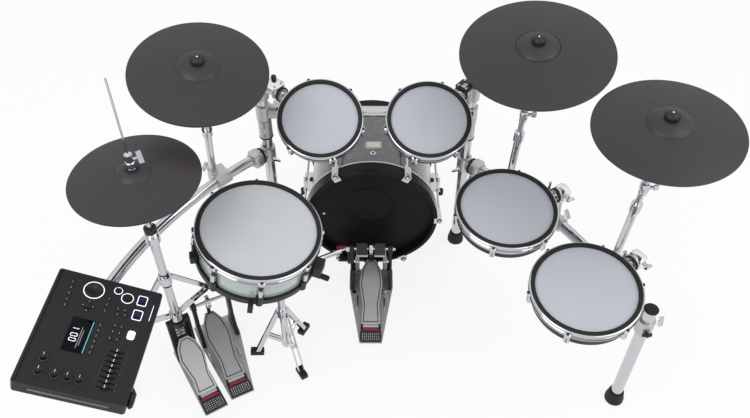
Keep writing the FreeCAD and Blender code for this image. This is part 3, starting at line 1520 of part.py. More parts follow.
def hihat_rod():
    """The pull rod with the clutch that carries the upper cymbal."""
    top = size.hihat_edge_height + number("hihat_bow + hihat_bell_height + cymbal_edge")
    under = top - size.cymbal_thickness

    def upright(low, high, radius):
        return bar(raised(HIHAT, low), raised(HIHAT, high), radius)

    low = size.hihat_toe_height + size.board_thickness
    body = top + size.seat_gap + size.clutch_flange_height
    screw = raised(HIHAT, body + size.clutch_height / 2)
    side = HIHAT_PEDAL.across
    wing = screw + side * (size.clutch_radius + size.screw_length / 2)
    things = [upright(low, size.hihat_rod_top, "hihat_rod_radius"),
              upright(under - size.seat_gap - size.clutch_flange_height, under - size.seat_gap, "clutch_flange_radius"),
              upright(under - size.seat_gap * 2, top + size.seat_gap * 2, "hihat_hole - seat_gap"),
              upright(top + size.seat_gap, body, "clutch_flange_radius"),
              upright(body, body + size.clutch_height, "clutch_radius"),
              bar(screw, wing, "screw_radius"),
              block(along(wing, wing + side), "wing_span", "wing_thickness", "wing_height")]
    node("hihat_rod", fused(things))


def hihat_pedal():
    """The hi-hat's frame with its yoke, and its footboard."""
    pedal = HIHAT_PEDAL
    body = new_body(pedal.place)
    half = "hihat_frame_half + hihat_frame_wall"
    padded(body, [("-pedal_heel_half", "-hihat_heel"), ("pedal_heel_half", "-hihat_heel"),
                  (half, "hihat_plate_front"), (f"-({half})", "hihat_plate_front")], "pedal_plate")
    things = [body] + pedal.heel("-hihat_heel")
    depth = ("-hihat_frame_depth / 2", "hihat_frame_depth / 2")
    top = "hihat_tube_foot + hihat_yoke_height / 2"
    for low, high in (("hihat_frame_half", half), (f"-({half})", "-hihat_frame_half")):
        things.append(pedal.box((low, high), depth, ("0", top)))
    foot = "hihat_tube_foot - hihat_yoke_height / 3"
    things.append(pedal.box((f"-({half})", half), depth, (foot, top)))
    low, high = number(foot), number(top)
    things.append(bar(raised(HIHAT, low), raised(HIHAT, high), "hihat_tube_radius + hihat_frame_wall"))
    socket = bar(raised(HIHAT, size.hihat_tube_foot), raised(HIHAT, high + size.overrun), "hihat_tube_radius + seat_gap")
    rod = bar(raised(HIHAT, low - size.overrun), raised(HIHAT, high), "hihat_bore")
    node("hihat_base", less(fused(things), [socket, rod]))
    node("hihat_footboard", pedal.board([]))


# Sound module

MODULE_TURN = Rotation(UP, size.module_turn).multiply(Rotation(AWAY, size.module_roll))
MODULE_TURN = MODULE_TURN.multiply(Rotation(RIGHT, size.module_pitch))
MODULE = Placement(floor_spot(size.module_x, size.module_y, size.module_z), MODULE_TURN)


def panel_spot(shares):
    """A place on the panel from its shares of the depth and the width."""
    return Vector(shares[0] * size.module_depth, shares[1] * size.module_width, 0)


def panel_block(shares, height, length, width, tall):
    """A block over a place on the panel, its foot at the height given."""
    spot = panel_spot(shares) + UP * number(height)
    return block(MODULE.multiply(Placement(spot, Rotation())), length, width, tall)


def panel_bar(shares, low, high, radius):
    """A round bar over a place on the panel."""
    spot = panel_spot(shares)
    return bar(MODULE.multVec(spot + UP * number(low)), MODULE.multVec(spot + UP * number(high)), radius)


def fader_places():
    """Where the faders stand, as shares of the panel."""
    step = size.fader_pitch / size.module_width
    return [(FADER_SHARES[0], FADER_SHARES[1] - step * index) for index in range(8)]


def module():
    """The sound module: case, screen and controls."""
    body = new_body(MODULE)
    half, wide, cut = "module_depth / 2", "module_width / 2", "module_round"
    padded(body, [
        (f"-{half} + {cut}", f"-{wide}"), (f"{half} - {cut}", f"-{wide}"), (half, f"-{wide} + {cut}"),
        (half, f"{wide} - {cut}"), (f"{half} - {cut}", wide), (f"-{half} + {cut}", wide),
        (f"-{half}", f"{wide} - {cut}"), (f"-{half}", f"-{wide} + {cut}")], "module_height", "-module_height")
    sunk = "-control_sink"
    room = "button_size + button_gap * 2"
    tools = [panel_block(SCREEN_SHARES, "-screen_sink", "screen_depth", "screen_width", "screen_sink * 2"),
             panel_bar(DIAL_SHARES, sunk, "overrun", "dial_pin_radius + running_gap")]
    tools += [panel_bar(spot, sunk, "overrun", "dial_pin_radius + running_gap") for spot in KNOB_SHARES]
    tools += [panel_block(spot, "-button_sink", room, room, "button_sink * 2") for spot in BUTTON_SHARES]
    tools += [panel_block(spot, sunk, "fader_slot", "fader_slot_width", "control_sink * 2") for spot in fader_places()]
    node("module_case", less(body, tools))
    inset = "seat_gap * 2"
    node("module_screen", panel_block(SCREEN_SHARES, "-screen_sink + running_gap", f"screen_depth - {inset}",
                                      f"screen_width - {inset}", "screen_glass"))
    node("module_dial", fused([panel_bar(DIAL_SHARES, "seat_gap", "dial_height", "dial_radius"),
                               panel_bar(DIAL_SHARES, f"{sunk} + seat_gap", "dial_height", "dial_pin_radius")]))
    group("module_knobs", [fused([panel_bar(spot, "seat_gap", "knob_height", "knob_radius"),
                                  panel_bar(spot, f"{sunk} + seat_gap", "knob_height", "dial_pin_radius")])
                           for spot in KNOB_SHARES])
    group("module_faders", [fused([panel_block(spot, "seat_gap * 2", "fader_length", "fader_width", "fader_height"),
                                   panel_block(spot, f"{sunk} + seat_gap", "fader_length / 2", "fader_stem",
                                               "fader_height")])
                            for spot in fader_places()])
    group("module_buttons", [panel_block(spot, "-button_sink + button_travel + seat_gap", "button_size", "button_size",
                                         "button_sink + button_height - button_travel") for spot in BUTTON_SHARES])


def module_mount():
    """The plate under the module and the rod that carries it from the left leg."""
    plate = MODULE.multiply(Placement(Vector(0, 0, -size.module_height - size.seat_gap - size.mount_plate), Rotation()))
    under = plate.multVec(Vector(0, 0, size.mount_plate / 2))
    leg = raised(LEGS["left"], size.module_clamp_height)
    out = Vector(under.x - leg.x, under.y - leg.y, 0).normalize()
    start = leg + out * size.clamp_spacing
    bend = raised(start, size.module_bend_height)
    things = [block(plate, "mount_plate_size", "mount_plate_size", "mount_plate"),
              bar(start - UP * size.clamp_length * 0.7, bend, "module_rod_radius"), ball(bend, "module_rod_radius"),
              bar(bend, under, "module_rod_radius")]
    over = block(MODULE.multiply(Placement(Vector(0, 0, -size.module_height - size.seat_gap), Rotation())),
                 "mount_plate_size", "mount_plate_size", "mount_plate_size")
    node("module_mount", less(fused(things), [over]))
    clamp((leg, UP, "tube_radius", "seat_gap"), (start, UP, "module_rod_radius", "seat_gap"))
    wing_screw(sleeve_face(leg, out * -1, size.tube_radius), out * -1)


def finish():
    """Checks every object and writes each sub-part to its own file."""
    doc.recompute()
    for thing in doc.Objects:
        if "Invalid" in thing.State or "Error" in thing.State:
            raise RuntimeError(f"{thing.Name} of type {thing.TypeId} failed: {thing.State}")
    os.makedirs("parts", exist_ok=True)
    for label, thing in NODES.items():
        shape = thing.Shape
        if shape.isNull() or not shape.isValid() or not shape.Solids:
            raise RuntimeError(f"{label} has no valid solid")
        shape.exportStep(f"parts/{label}.step")
        print(label, len(shape.Solids), round(shape.Volume))


rack_tubes()
rack_ends()
rack_clamps()
TOMS = toms()
snare_pad()
snare_basket()
snare_stand()
kick_drum()
kick_claws()
kick_spurs()
cymbals()
hihat_pair()
hihat_stand()
hihat_legs()
hihat_rod()
hihat_pedal()
kick_pedal()
beaters()
slave_pedal()
springs()
module()
module_mount()
group("rack_clamps", CLAMPS)
group("rack_wing_screws", SCREWS)
finish()
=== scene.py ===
"""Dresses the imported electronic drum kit: finishes, small pieces, studio and camera."""

from __future__ import annotations

import json
import logging
import math
from dataclasses import dataclass, field, replace
from enum import Enum
from typing import Any, Callable, Iterable, Sequence

import bmesh
import bpy
import numpy as np
from mathutils import Matrix, Vector

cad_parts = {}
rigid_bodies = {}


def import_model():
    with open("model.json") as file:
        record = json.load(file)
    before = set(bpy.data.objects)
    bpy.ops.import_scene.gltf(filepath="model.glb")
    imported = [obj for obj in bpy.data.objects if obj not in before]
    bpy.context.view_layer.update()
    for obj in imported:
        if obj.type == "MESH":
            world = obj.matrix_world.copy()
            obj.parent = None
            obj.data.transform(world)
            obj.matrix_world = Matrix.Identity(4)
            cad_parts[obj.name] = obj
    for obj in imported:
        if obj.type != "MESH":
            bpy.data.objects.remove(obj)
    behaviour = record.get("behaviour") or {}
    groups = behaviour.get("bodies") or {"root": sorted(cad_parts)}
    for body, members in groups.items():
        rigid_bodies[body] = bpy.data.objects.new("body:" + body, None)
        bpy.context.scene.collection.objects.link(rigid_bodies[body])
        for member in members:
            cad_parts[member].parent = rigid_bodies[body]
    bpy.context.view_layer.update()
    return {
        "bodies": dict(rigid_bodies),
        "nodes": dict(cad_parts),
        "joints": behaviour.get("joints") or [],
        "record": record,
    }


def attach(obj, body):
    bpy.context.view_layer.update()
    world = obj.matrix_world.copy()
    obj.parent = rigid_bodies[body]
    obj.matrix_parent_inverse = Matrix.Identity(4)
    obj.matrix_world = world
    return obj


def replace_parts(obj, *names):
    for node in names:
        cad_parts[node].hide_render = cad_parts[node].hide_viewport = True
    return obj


LOG = logging.getLogger("drum_kit")
MM = 0.001
PHOTO_WIDTH = 750
SHARP = math.radians(32)
TOE_TOP = 18.5
UP = Vector((0, 0, 1))
RIGHT = Vector((1, 0, 0))
AWAY = Vector((0, 1, 0))
KIT: dict[str, Any] = {}
Colour = tuple[float, float, float]
Pair = tuple[float, float]
Triple = tuple[float, float, float]
Outline = Sequence[Pair]
Test = Callable[[Vector], bool]


class Body(str, Enum):
    """The moving bodies that new pieces ride on."""

    KIT = "kit"
    LEFT_TOM = "left_tom"
    RIGHT_TOM = "right_tom"
    FLOOR_TOM_1 = "floor_tom_1"
    FLOOR_TOM_2 = "floor_tom_2"
    SNARE = "snare"
    LEFT_CRASH = "left_crash"
    RIDE = "ride"
    RIGHT_CRASH = "right_crash"
    HIHAT_PULL = "hihat_pull"
    HIHAT_BOARD = "hihat_board"
    KICK_BOARD = "kick_board"
    SLAVE_BOARD = "slave_board"
    KICK_BEATER = "kick_beater"
    SLAVE_BEATER = "slave_beater"
    DIAL = "dial"
    FADERS = "faders"


class Slot(str, Enum):
    """The record's material slots, which new pieces are passed but do not take their finish from."""

    CAST = "cast"
    RUBBER = "rubber"
    BRIGHT = "bright"
    BLACK = "black"
    CYMBAL = "cymbal"
    KICK_HEAD = "kick_head"
    BOARD = "board"
    PEDAL = "pedal"
    BEATER = "beater"
    SCREEN = "screen"
    CONTROL = "control"


class Value:
    """A shader socket that takes part in Python sums."""

    def __init__(self, shader: Shader, socket: bpy.types.NodeSocket) -> None:
        """Keeps the socket and the shader it belongs to."""
        self.shader = shader
        self.socket = socket

    def _math(self, operation: str, first: Any, second: Any) -> Value:
        """Adds one Math node.

        Args:
            operation: The node's operation.
            first: The first value or number.
            second: The second value or number.

        Returns:
            The node's result.
        """
        return self.shader.node("ShaderNodeMath", {"operation": operation}, {0: first, 1: second})

    def __add__(self, other: Any) -> Value:
        """Adds."""
        return self._math("ADD", self, other)

    __radd__ = __add__

    def __sub__(self, other: Any) -> Value:
        """Takes the other away."""
        return self._math("SUBTRACT", self, other)

    def __rsub__(self, other: Any) -> Value:
        """Is taken away from the other."""
        return self._math("SUBTRACT", other, self)

    def __mul__(self, other: Any) -> Value:
        """Multiplies."""
        return self._math("MULTIPLY", self, other)

    __rmul__ = __mul__

    def __gt__(self, other: Any) -> Value:
        """Is 1 where this is greater."""
        return self._math("GREATER_THAN", self, other)

    def wave(self) -> Value:
        """Gives the sine."""
        return self._math("SINE", self, 0.0)

    def size(self) -> Value:
        """Gives the value without its sign."""
        return self._math("ABSOLUTE", self, 0.0)

    def upto(self, limit: float) -> Value:
        """Gives the value, or the limit where the value is greater."""
        return self._math("MINIMUM", self, limit)

    def part(self, output: Any) -> Value:
        """Gives another output of the node that this value comes from."""
        return Value(self.shader, self.socket.node.outputs[output])


class Shader:
    """A node tree, of a material with one principled shader or of the world."""

    def __init__(self, owner: bpy.types.Material | bpy.types.World) -> None:
        """Opens the owner's node tree.

        Args:
            owner: The material or world.
        """
        owner.use_nodes = True
        self.owner = owner
        self.tree = owner.node_tree

    def node(self, kind: str, settings: dict[str, Any], sockets: dict[Any, Any], output: Any = 0) -> Value:
        """Adds a node.

        Args:
            kind: The node's type.
            settings: Properties that are set first.
            sockets: Values, links or numbers of its inputs.
            output: Which output to give back.

        Returns:
            The output as a value.
        """
        added = self.tree.nodes.new(kind)
        for key, setting in settings.items():
            setattr(added, key, setting)
        for key, content in sockets.items():
            self.feed(added, key, content)
        return Value(self, added.outputs[output])

    def feed(self, node: bpy.types.Node, socket: Any, content: Any) -> None:
        """Sets or links one input of a node.

        Args:
            node: The node.
            socket: The input's name or number.
            content: A value, number or colour.
        """
        if isinstance(content, Value):
            self.tree.links.new(content.socket, node.inputs[socket])
        else:
            node.inputs[socket].default_value = content

    def place(self) -> Value:
        return self.node("ShaderNodeTexCoord", {}, {}, "Object")

    def noise(self, place: Value, scale: float, detail: float = 3.0) -> Value:
        """Gives a cloudy value from 0 to 1."""
        return self.node("ShaderNodeTexNoise", {}, {"Vector": place, "Scale": scale, "Detail": detail})

    def mix(self, share: Value, first: Colour, second: Colour) -> Value:
        """Blends two colours.

        Args:
            share: How much of the second colour there is.
            first: The colour at 0.
            second: The colour at 1.

        Returns:
            The blend.
        """
        ends = {0: share, 6: (*first, 1.0), 7: (*second, 1.0)}
        return self.node("ShaderNodeMix", {"data_type": "RGBA"}, ends, 2)


@dataclass(frozen=True)
class Finish:
    """A finish whose colour and gloss drift a little, with a fine grain."""

    name: str
    colour: Colour
    roughness: float = 0.4
    metallic: float = 0.0
    coat: float = 0.0
    glow: float = 0.0
    drift: float = 0.07
    drift_scale: float = 26.0
    smudge: float = 0.08
    grain: float = 0.05
    grain_scale: float = 900.0
    specular: float = 0.5

    def tint(self, shader: Shader, place: Value) -> Value:
        """Gives the colour over the surface.

        Args:
            shader: The material's tree.
            place: The point on the surface.

        Returns:
            The colour.
        """
        ends = [tuple(part * share for part in self.colour) for share in (1 - self.drift, 1 + self.drift)]
        return shader.mix(shader.noise(place, self.drift_scale), *ends)

    def relief(self, shader: Shader, place: Value) -> Value:
        """Gives the height of the grain over the surface."""
        return shader.noise(place, self.grain_scale, 2.0)

    def material(self) -> bpy.types.Material:
        """Makes the material, or finds it when it is there already.

        Returns:
            The material.
        """
        known = bpy.data.materials.get(self.name)
        if known:
            return known
        shader = Shader(bpy.data.materials.new(self.name))
        base, place = shader.tree.nodes["Principled BSDF"], shader.place()
        tint = self.tint(shader, place)
        cloud = shader.noise(place, self.drift_scale * 2.3)
        height = self.relief(shader, place)
        grain = {"Strength": self.grain, "Distance": MM, "Height": height}
        shader.feed(base, "Base Color", tint)
        shader.feed(base, "Roughness", cloud * self.smudge + (self.roughness - self.smudge / 2))
        shader.feed(base, "Metallic", self.metallic)
        shader.feed(base, "Coat Weight", self.coat)
        shader.feed(base, "Specular IOR Level", self.specular)
        shader.feed(base, "Normal", shader.node("ShaderNodeBump", {}, grain, "Normal"))
        if self.glow:
            shader.feed(base, "Emission Color", tint)
            shader.feed(base, "Emission Strength", self.glow)
        return shader.owner


@dataclass(frozen=True)
class Woven(Finish):
    """A mesh cloth of crossing threads."""

    thread: float = 1.5 * MM

    def relief(self, shader: Shader, place: Value) -> Value:
        """Gives the height of the threads."""
        east = shader.node("ShaderNodeSeparateXYZ", {}, {0: place})
        turn = math.tau / self.thread
        return (east * turn).wave() * (east.part(1) * turn).wave()


@dataclass(frozen=True)
class Flaked(Finish):
    """A lacquer with metal flakes in it."""

    flake_scale: float = 620.0
    flake_share: float = 0.2
    glint: Colour = (0.36, 0.36, 0.38)

    def tint(self, shader: Shader, place: Value) -> Value:
        """Gives the lacquer's colour, with a glint on some of its flakes."""
        flake = shader.node("ShaderNodeTexVoronoi", {}, {"Vector": place, "Scale": self.flake_scale}, "Color")
        bright = shader.node("ShaderNodeSeparateColor", {}, {0: flake}) > 1 - self.flake_share
        return shader.mix(bright * shader.noise(place, self.drift_scale), self.colour, self.glint)


@dataclass(frozen=True)
class Lathed(Finish):
    """A round sheet with fine grooves about its middle."""

    middle: Colour = (0.0, 0.0, 0.0)
    axis: Colour = (0.0, 0.0, 1.0)
    groove: float = 3.2 * MM

    def relief(self, shader: Shader, place: Value) -> Value:
        """Gives the height of the grooves."""
        step = shader.node("ShaderNodeVectorMath", {"operation": "SUBTRACT"}, {0: place, 1: self.middle})
        side = shader.node("ShaderNodeVectorMath", {"operation": "CROSS_PRODUCT"}, {0: step, 1: self.axis})
        reach = shader.node("ShaderNodeVectorMath", {"operation": "LENGTH"}, {0: side}, "Value")
        return (reach * (math.tau / self.groove)).wave() + shader.noise(place, self.grain_scale)


@dataclass(frozen=True)
class Brushed(Finish):
    """Metal that is brushed one way."""

    stretch: float = 0.03

    def relief(self, shader: Shader, place: Value) -> Value:
        """Gives the height of the brushing's fine lines."""
        way = {"Vector": place, "Scale": (1.0, self.stretch, 1.0)}
        return shader.noise(shader.node("ShaderNodeMapping", {}, way), self.grain_scale, 2.0)


CHROME = Finish("chrome", (0.57, 0.575, 0.60), 0.1, 1.0, drift=0.02, smudge=0.05, grain=0.006)
CAST = Finish("cast_metal", (0.55, 0.55, 0.55), 0.4, 0.85, grain=0.16, grain_scale=700.0)
BRIGHT_CAST = Finish("bright_casting", (0.80, 0.80, 0.82), 0.16, 1.0, drift=0.03, grain=0.03)
STEEL = Finish("plain_steel", (0.50, 0.51, 0.53), 0.3, 1.0, grain=0.03)
SILVER = Brushed("silver_board", (0.47, 0.47, 0.48), 0.4, 0.6, grain=0.06, grain_scale=1200.0)
PLATE = Brushed("base_plate", (0.50, 0.49, 0.50), 0.45, 0.2, grain=0.06)
PALE_PLATE = replace(PLATE, name="pale_plate", colour=(0.50, 0.50, 0.51))
RUBBER = Finish("black_rubber", (0.013, 0.013, 0.014), 0.6, drift=0.2, grain=0.16, specular=0.3)
BLACK = Finish("black_plastic", (0.015, 0.015, 0.016), 0.42, drift=0.15, grain=0.06, specular=0.35)
GLOSS_BLACK = Finish("gloss_black", (0.011, 0.011, 0.012), 0.12, coat=0.4, drift=0.15, smudge=0.06,
                     grain=0.008)
HOOP_BLACK = replace(GLOSS_BLACK, name="hoop_black", coat=0.0, specular=0.1)
DARK_METAL = Finish("dark_metal", (0.032, 0.032, 0.035), 0.36, 0.6, drift=0.15)
HEAD = Woven("woven_head", (0.50, 0.53, 0.58), 0.7, drift=0.03, drift_scale=12.0, grain=0.1, specular=0.3)
SNARE_HEAD = replace(HEAD, name="snare_head", colour=(0.56, 0.585, 0.61))
MINT = Finish("mint_lacquer", (0.43, 0.50, 0.47), 0.12, coat=0.8, drift=0.03, smudge=0.05, grain=0.01)
CYMBAL = Lathed("cymbal_rubber", (0.032, 0.027, 0.033), 0.42, drift=0.08, drift_scale=14.0, grain=0.05,
                specular=0.4)
SPARKLE = Flaked("sparkle_lacquer", (0.092, 0.087, 0.098), 0.2, 0.4, coat=0.8, smudge=0.05, grain=0.01)
KICK_HEAD = Woven("kick_head_cloth", (0.008, 0.007, 0.008), 0.45, drift=0.15, grain=0.012, specular=0.12)
PATCH = Finish("kick_patch", (0.016, 0.015, 0.018), 0.75, drift=0.1, grain=0.2, grain_scale=500.0,
               specular=0.1)
RED = Finish("red_enamel", (0.32, 0.016, 0.035), 0.35, grain=0.03)
CREAM = Finish("cream_plastic", (0.62, 0.58, 0.48), 0.4, grain=0.03)
IVORY = Finish("ivory_plate", (0.86, 0.82, 0.75), 0.35, drift=0.03, grain=0.02)
# Pale marks, and the painted highlight ring along the kick hoops' rear edges.
PALE_MARK_AND_HIGHLIGHT = Finish("pale_mark_and_highlight", (0.78, 0.78, 0.79), 0.3, drift=0.02, grain=0.01)
WHITE_LIGHT = Finish("white_light", (0.82, 0.87, 0.93), 0.4, glow=0.75, drift=0.04, grain=0.0)
TEAL_LIGHT = Finish("teal_light", (0.07, 0.38, 0.42), 0.4, glow=0.6, drift=0.1, grain=0.0)
DIM_LIGHT = Finish("dim_light", (0.30, 0.31, 0.33), 0.45, drift=0.08, grain=0.02, specular=0.2)
FAINT = Finish("faint_print", (0.075, 0.075, 0.082), 0.5, drift=0.08, grain=0.02, specular=0.2)
BLUE_PAD = Finish("blue_pad", (0.010, 0.016, 0.05), 0.3, drift=0.2, grain=0.02, specular=0.25)
# Near-black screen glass; also the painted shade round the foot of the ride's bell.
GLASS_AND_BELL_SHADE = Finish("screen_glass", (0.002, 0.002, 0.003), 0.12, drift=0.2, smudge=0.04, grain=0.0, specular=0.1)
MODULE_BLACK = Finish("module_black", (0.020, 0.017, 0.020), 0.5, drift=0.08, grain=0.08, specular=0.2)
CONTROL = Finish("control_black", (0.012, 0.012, 0.013), 0.4, drift=0.12, grain=0.05, specular=0.3)
# White print, and the painted highlight on the cymbal studs' tips.
WHITE_PRINT_AND_HIGHLIGHT = Finish("white_print_and_highlight", (0.72, 0.73, 0.74), 0.5, drift=0.04, grain=0.02)


@dataclass(frozen=True)
class Frame:
    """A right-handed frame: a place in metres and three directions. Steps in it are in millimetres."""

    spot: Vector
    x: Vector = RIGHT
    y: Vector = AWAY
    z: Vector = UP

    def matrix(self) -> Matrix:
        turn = Matrix((self.x, self.y, self.z)).transposed().to_4x4()
        return Matrix.Translation(self.spot) @ turn

    def inside(self, point: Vector) -> Vector:
        step = (point - self.spot) / MM
        return Vector((step.dot(self.x), step.dot(self.y), step.dot(self.z)))

    def at(self, x: float, y: float, z: float) -> Vector:
        return self.spot + self.x * (x * MM) + self.y * (y * MM) + self.z * (z * MM)

    def moved(self, x: float, y: float, z: float = 0.0) -> Frame:
        """Gives the same frame at another place."""
        return Frame(self.at(x, y, z), self.x, self.y, self.z)

    def turned(self, axis: Vector, degrees: float) -> Frame:
        turn = Matrix.Rotation(math.radians(degrees), 3, axis)
        return Frame(self.spot, turn @ self.x, turn @ self.y, turn @ self.z)

    def out(self, x: float, y: float, z: float = 0.0) -> Frame:
        """Gives a frame at another place whose z points along this one's x."""
        return Frame(self.at(x, y, z), self.y, self.z, self.x)

    def round(self, radius: float, degrees: float, z: float = 0.0) -> Frame:
        """Gives a frame on a circle about z, with its x pointing outwards."""
        spun = self.turned(self.z, degrees)
        return spun.moved(radius, 0.0, z)


WORLD = Frame(Vector((0, 0, 0)))


def facing(spot: Vector, way: Vector) -> Frame:
    """Gives a frame whose z points along a direction.

    Args:
        spot: Its place.
        way: The direction.

    Returns:
        The frame.
    """
    way = way.normalized()
    across = (UP if abs(way.z) < 0.9 else AWAY).cross(way).normalized()
    return Frame(spot, across, way.cross(across), way)


class Shape:
    """A piece in the making: a mesh with one finish for each part. Sizes are in millimetres."""

    def __init__(self, name: str) -> None:
        """Starts an empty piece.

        Args:
            name: The piece's name.
        """
        self.name = name
        self.mesh = bmesh.new()
        self.finishes: list[Finish] = []

    def _join(self, part: bmesh.types.BMesh, frame: Frame, finish: Finish) -> None:
        """Joins a part that is made in a frame's own coordinates.

        Args:
            part: The part's mesh, which is used up.
            frame: The frame it is in.
            finish: Its finish.
        """
        bmesh.ops.remove_doubles(part, verts=part.verts, dist=1e-6)
        bmesh.ops.recalc_face_normals(part, faces=part.faces)
        bmesh.ops.transform(part, matrix=frame.matrix(), verts=part.verts)
        if finish not in self.finishes:
            self.finishes.append(finish)
        for face in part.faces:
            face.material_index = self.finishes.index(finish)
            face.smooth = True
        for edge in part.edges:
            edge.smooth = edge.calc_face_angle(0.0) < SHARP
        carrier = bpy.data.meshes.new("carrier")
        part.to_mesh(carrier)
        part.free()
        self.mesh.from_mesh(carrier)
        bpy.data.meshes.remove(carrier)

    def block(self, frame: Frame, size: Sequence[float], finish: Finish, bevel: float = 0.0) -> None:
        """Adds a block with its middle at the frame.

        Args:
            frame: Its frame.
            size: Its three sides.
            finish: Its finish.
            bevel: How far its edges are rounded.
        """
        part = bmesh.new()
        bmesh.ops.create_cube(part, size=1.0)
        bmesh.ops.scale(part, vec=[side * MM for side in size], verts=part.verts)
        soften(part, bevel)
        self._join(part, frame, finish)

    def turning(self, frame: Frame, outline: Outline, finish: Finish, steps: int = 32) -> None:
        """Adds a turned part about the frame's z.

        Args:
            frame: Its frame.
            outline: Pairs of radius and height.
            finish: Its finish.
            steps: How many faces go round it.
        """
        part = bmesh.new()
        points = [part.verts.new((radius * MM, 0.0, height * MM)) for radius, height in outline]
        edges = [part.edges.new(pair) for pair in zip(points, points[1:])]
        bmesh.ops.spin(part, geom=points + edges, cent=(0, 0, 0), axis=(0, 0, 1), angle=math.tau, steps=steps,
                       use_merge=True)
        self._join(part, frame, finish)

    def ring(self, frame: Frame, inner: float, outer: float, low: float, high: float, finish: Finish,
             steps: int = 48) -> None:
        """Adds a flat ring or a sleeve about the frame's z.

        Args:
            frame: Its frame.
            inner: Its inner radius.
            outer: Its outer radius.
            low: Its lower height.
            high: Its upper height.
            finish: Its finish.
            steps: How many faces go round it.
        """
        edge = min(outer - inner, high - low) * 0.25
        self.turning(frame, [(inner, low), (outer - edge, low), (outer, low + edge), (outer, high - edge),
                             (outer - edge, high), (inner, high), (inner, low)], finish, steps)

    def bolt(self, frame: Frame, radius: float, height: float, finish: Finish) -> None:
        """Adds a round head with a socket in it, standing on the frame.

        Args:
            frame: Its frame.
            radius: Its radius.
            height: Its height.
            finish: Its finish.
        """
        edge, socket = radius * 0.2, radius * 0.45
        self.turning(frame, [(0.0, 0.0), (radius, 0.0), (radius, height - edge), (radius - edge, height),
                             (socket, height), (socket, height * 0.5), (0.0, height * 0.5)], finish, 20)

    def rod(self, frame: Frame, radius: float, low: float, high: float, finish: Finish) -> None:
        """Adds a rod along the frame's z with rounded ends.

        Args:
            frame: Its frame.
            radius: Its radius.
            low: Its lower end.
            high: Its upper end.
            finish: Its finish.
        """
        edge = min(radius * 0.35, (high - low) * 0.3)
        self.turning(frame, [(0.0, low), (radius - edge, low), (radius, low + edge), (radius, high - edge),
                             (radius - edge, high), (0.0, high)], finish, 24)

    def plate(self, frame: Frame, outline: Outline, thickness: float, finish: Finish,
              bevel: float = 0.0) -> None:
        """Adds a flat plate that stands on the frame.

        Args:
            frame: Its frame.
            outline: The points of its outline.
            thickness: Its thickness.
            finish: Its finish.
            bevel: How far its edges are rounded.
        """
        part = bmesh.new()
        face = part.faces.new([part.verts.new((x * MM, y * MM, 0.0)) for x, y in outline])
        raise_faces(part, [face], thickness)
        soften(part, bevel)
        self._join(part, frame, finish)

    def line(self, frame: Frame, outline: Outline, gap: float, width: float, thickness: float,
             finish: Finish) -> None:
        """Adds a raised line that follows an outline inside it.

        Args:
            frame: Its frame.
            outline: The points of the outline.
            gap: How far inside the line starts.
            width: Its width.
            thickness: Its thickness.
            finish: Its finish.
        """
        part = bmesh.new()
        face = part.faces.new([part.verts.new((x * MM, y * MM, 0.0)) for x, y in outline])
        if gap:
            bmesh.ops.delete(part, geom=inset(part, face, gap), context="FACES")
        rim = inset(part, face, width)
        bmesh.ops.delete(part, geom=[face], context="FACES_ONLY")
        raise_faces(part, rim, thickness)
        self._join(part, frame, finish)

    def take(self, node: str, finish: Finish, moves: Iterable[tuple[Test, Matrix]]) -> None:
        """Adds a copy of a CAD node, some of whose points are moved.

        Args:
            node: The node's name.
            finish: Its finish.
            moves: Tests of a point, each with the matrix that moves the points that it holds for.
        """
        part = bmesh.new()
        part.from_mesh(KIT["nodes"][node].data)
        for test, matrix in moves:
            held = [vertex for vertex in part.verts if test(vertex.co)]
            bmesh.ops.transform(part, matrix=matrix, verts=held)
        self._join(part, WORLD, finish)

    def ride(self, body: Body, slot: Slot) -> bpy.types.Object:
        """Finishes the piece and lets it ride on a body.

        Args:
            body: The body.
            slot: The material slot of the record; it is not used.

        Returns:
            The piece.
        """
        mesh = bpy.data.meshes.new(self.name)
        self.mesh.to_mesh(mesh)
        self.mesh.free()
        for finish in self.finishes:
            mesh.materials.append(finish.material())
        piece = bpy.data.objects.new(self.name, mesh)
        bpy.context.scene.collection.objects.link(piece)
        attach(piece, body.value)
        LOG.info("%s rides on %s with %d faces", self.name, body.value, len(mesh.polygons))
        return piece


def soften(part: bmesh.types.BMesh, bevel: float) -> None:
    """Rounds every edge of a part.

    Args:
        part: The part's mesh.
        bevel: How far; nothing is done at 0.
    """
    if bevel:
        bmesh.ops.bevel(part, geom=part.edges[:], offset=bevel * MM, affect="EDGES", segments=2, profile=0.5,
                        material=-1)


def inset(part: bmesh.types.BMesh, face: bmesh.types.BMFace, width: float) -> list[bmesh.types.BMFace]:
    """Insets a face.

    Args:
        part: The part's mesh.
        face: The face, which becomes the inner one.
        width: How far.

    Returns:
        The faces round it.
    """
    part.normal_update()
    made = bmesh.ops.inset_region(part, faces=[face], thickness=width * MM, use_boundary=True,
                                  use_even_offset=True)
    return made["faces"]


def raise_faces(part: bmesh.types.BMesh, faces: Iterable[bmesh.types.BMFace], height: float) -> None:
    """Makes flat faces a solid.

    Args:
        part: The part's mesh.
        faces: The faces, which stay as its underside.
        height: How far it is raised along z.
    """
    made = bmesh.ops.extrude_face_region(part, geom=list(faces), use_keep_orig=True)["geom"]
    tops = [thing for thing in made if isinstance(thing, bmesh.types.BMVert)]
    bmesh.ops.translate(part, vec=(0.0, 0.0, height * MM), verts=tops)


def corners(node: str) -> np.ndarray:
    """Gives the points of a CAD node's mesh.

    Args:
        node: The node's name.

    Returns:
        One row for each point.
    """
    return np.array([vertex.co for vertex in KIT["nodes"][node].data.vertices])


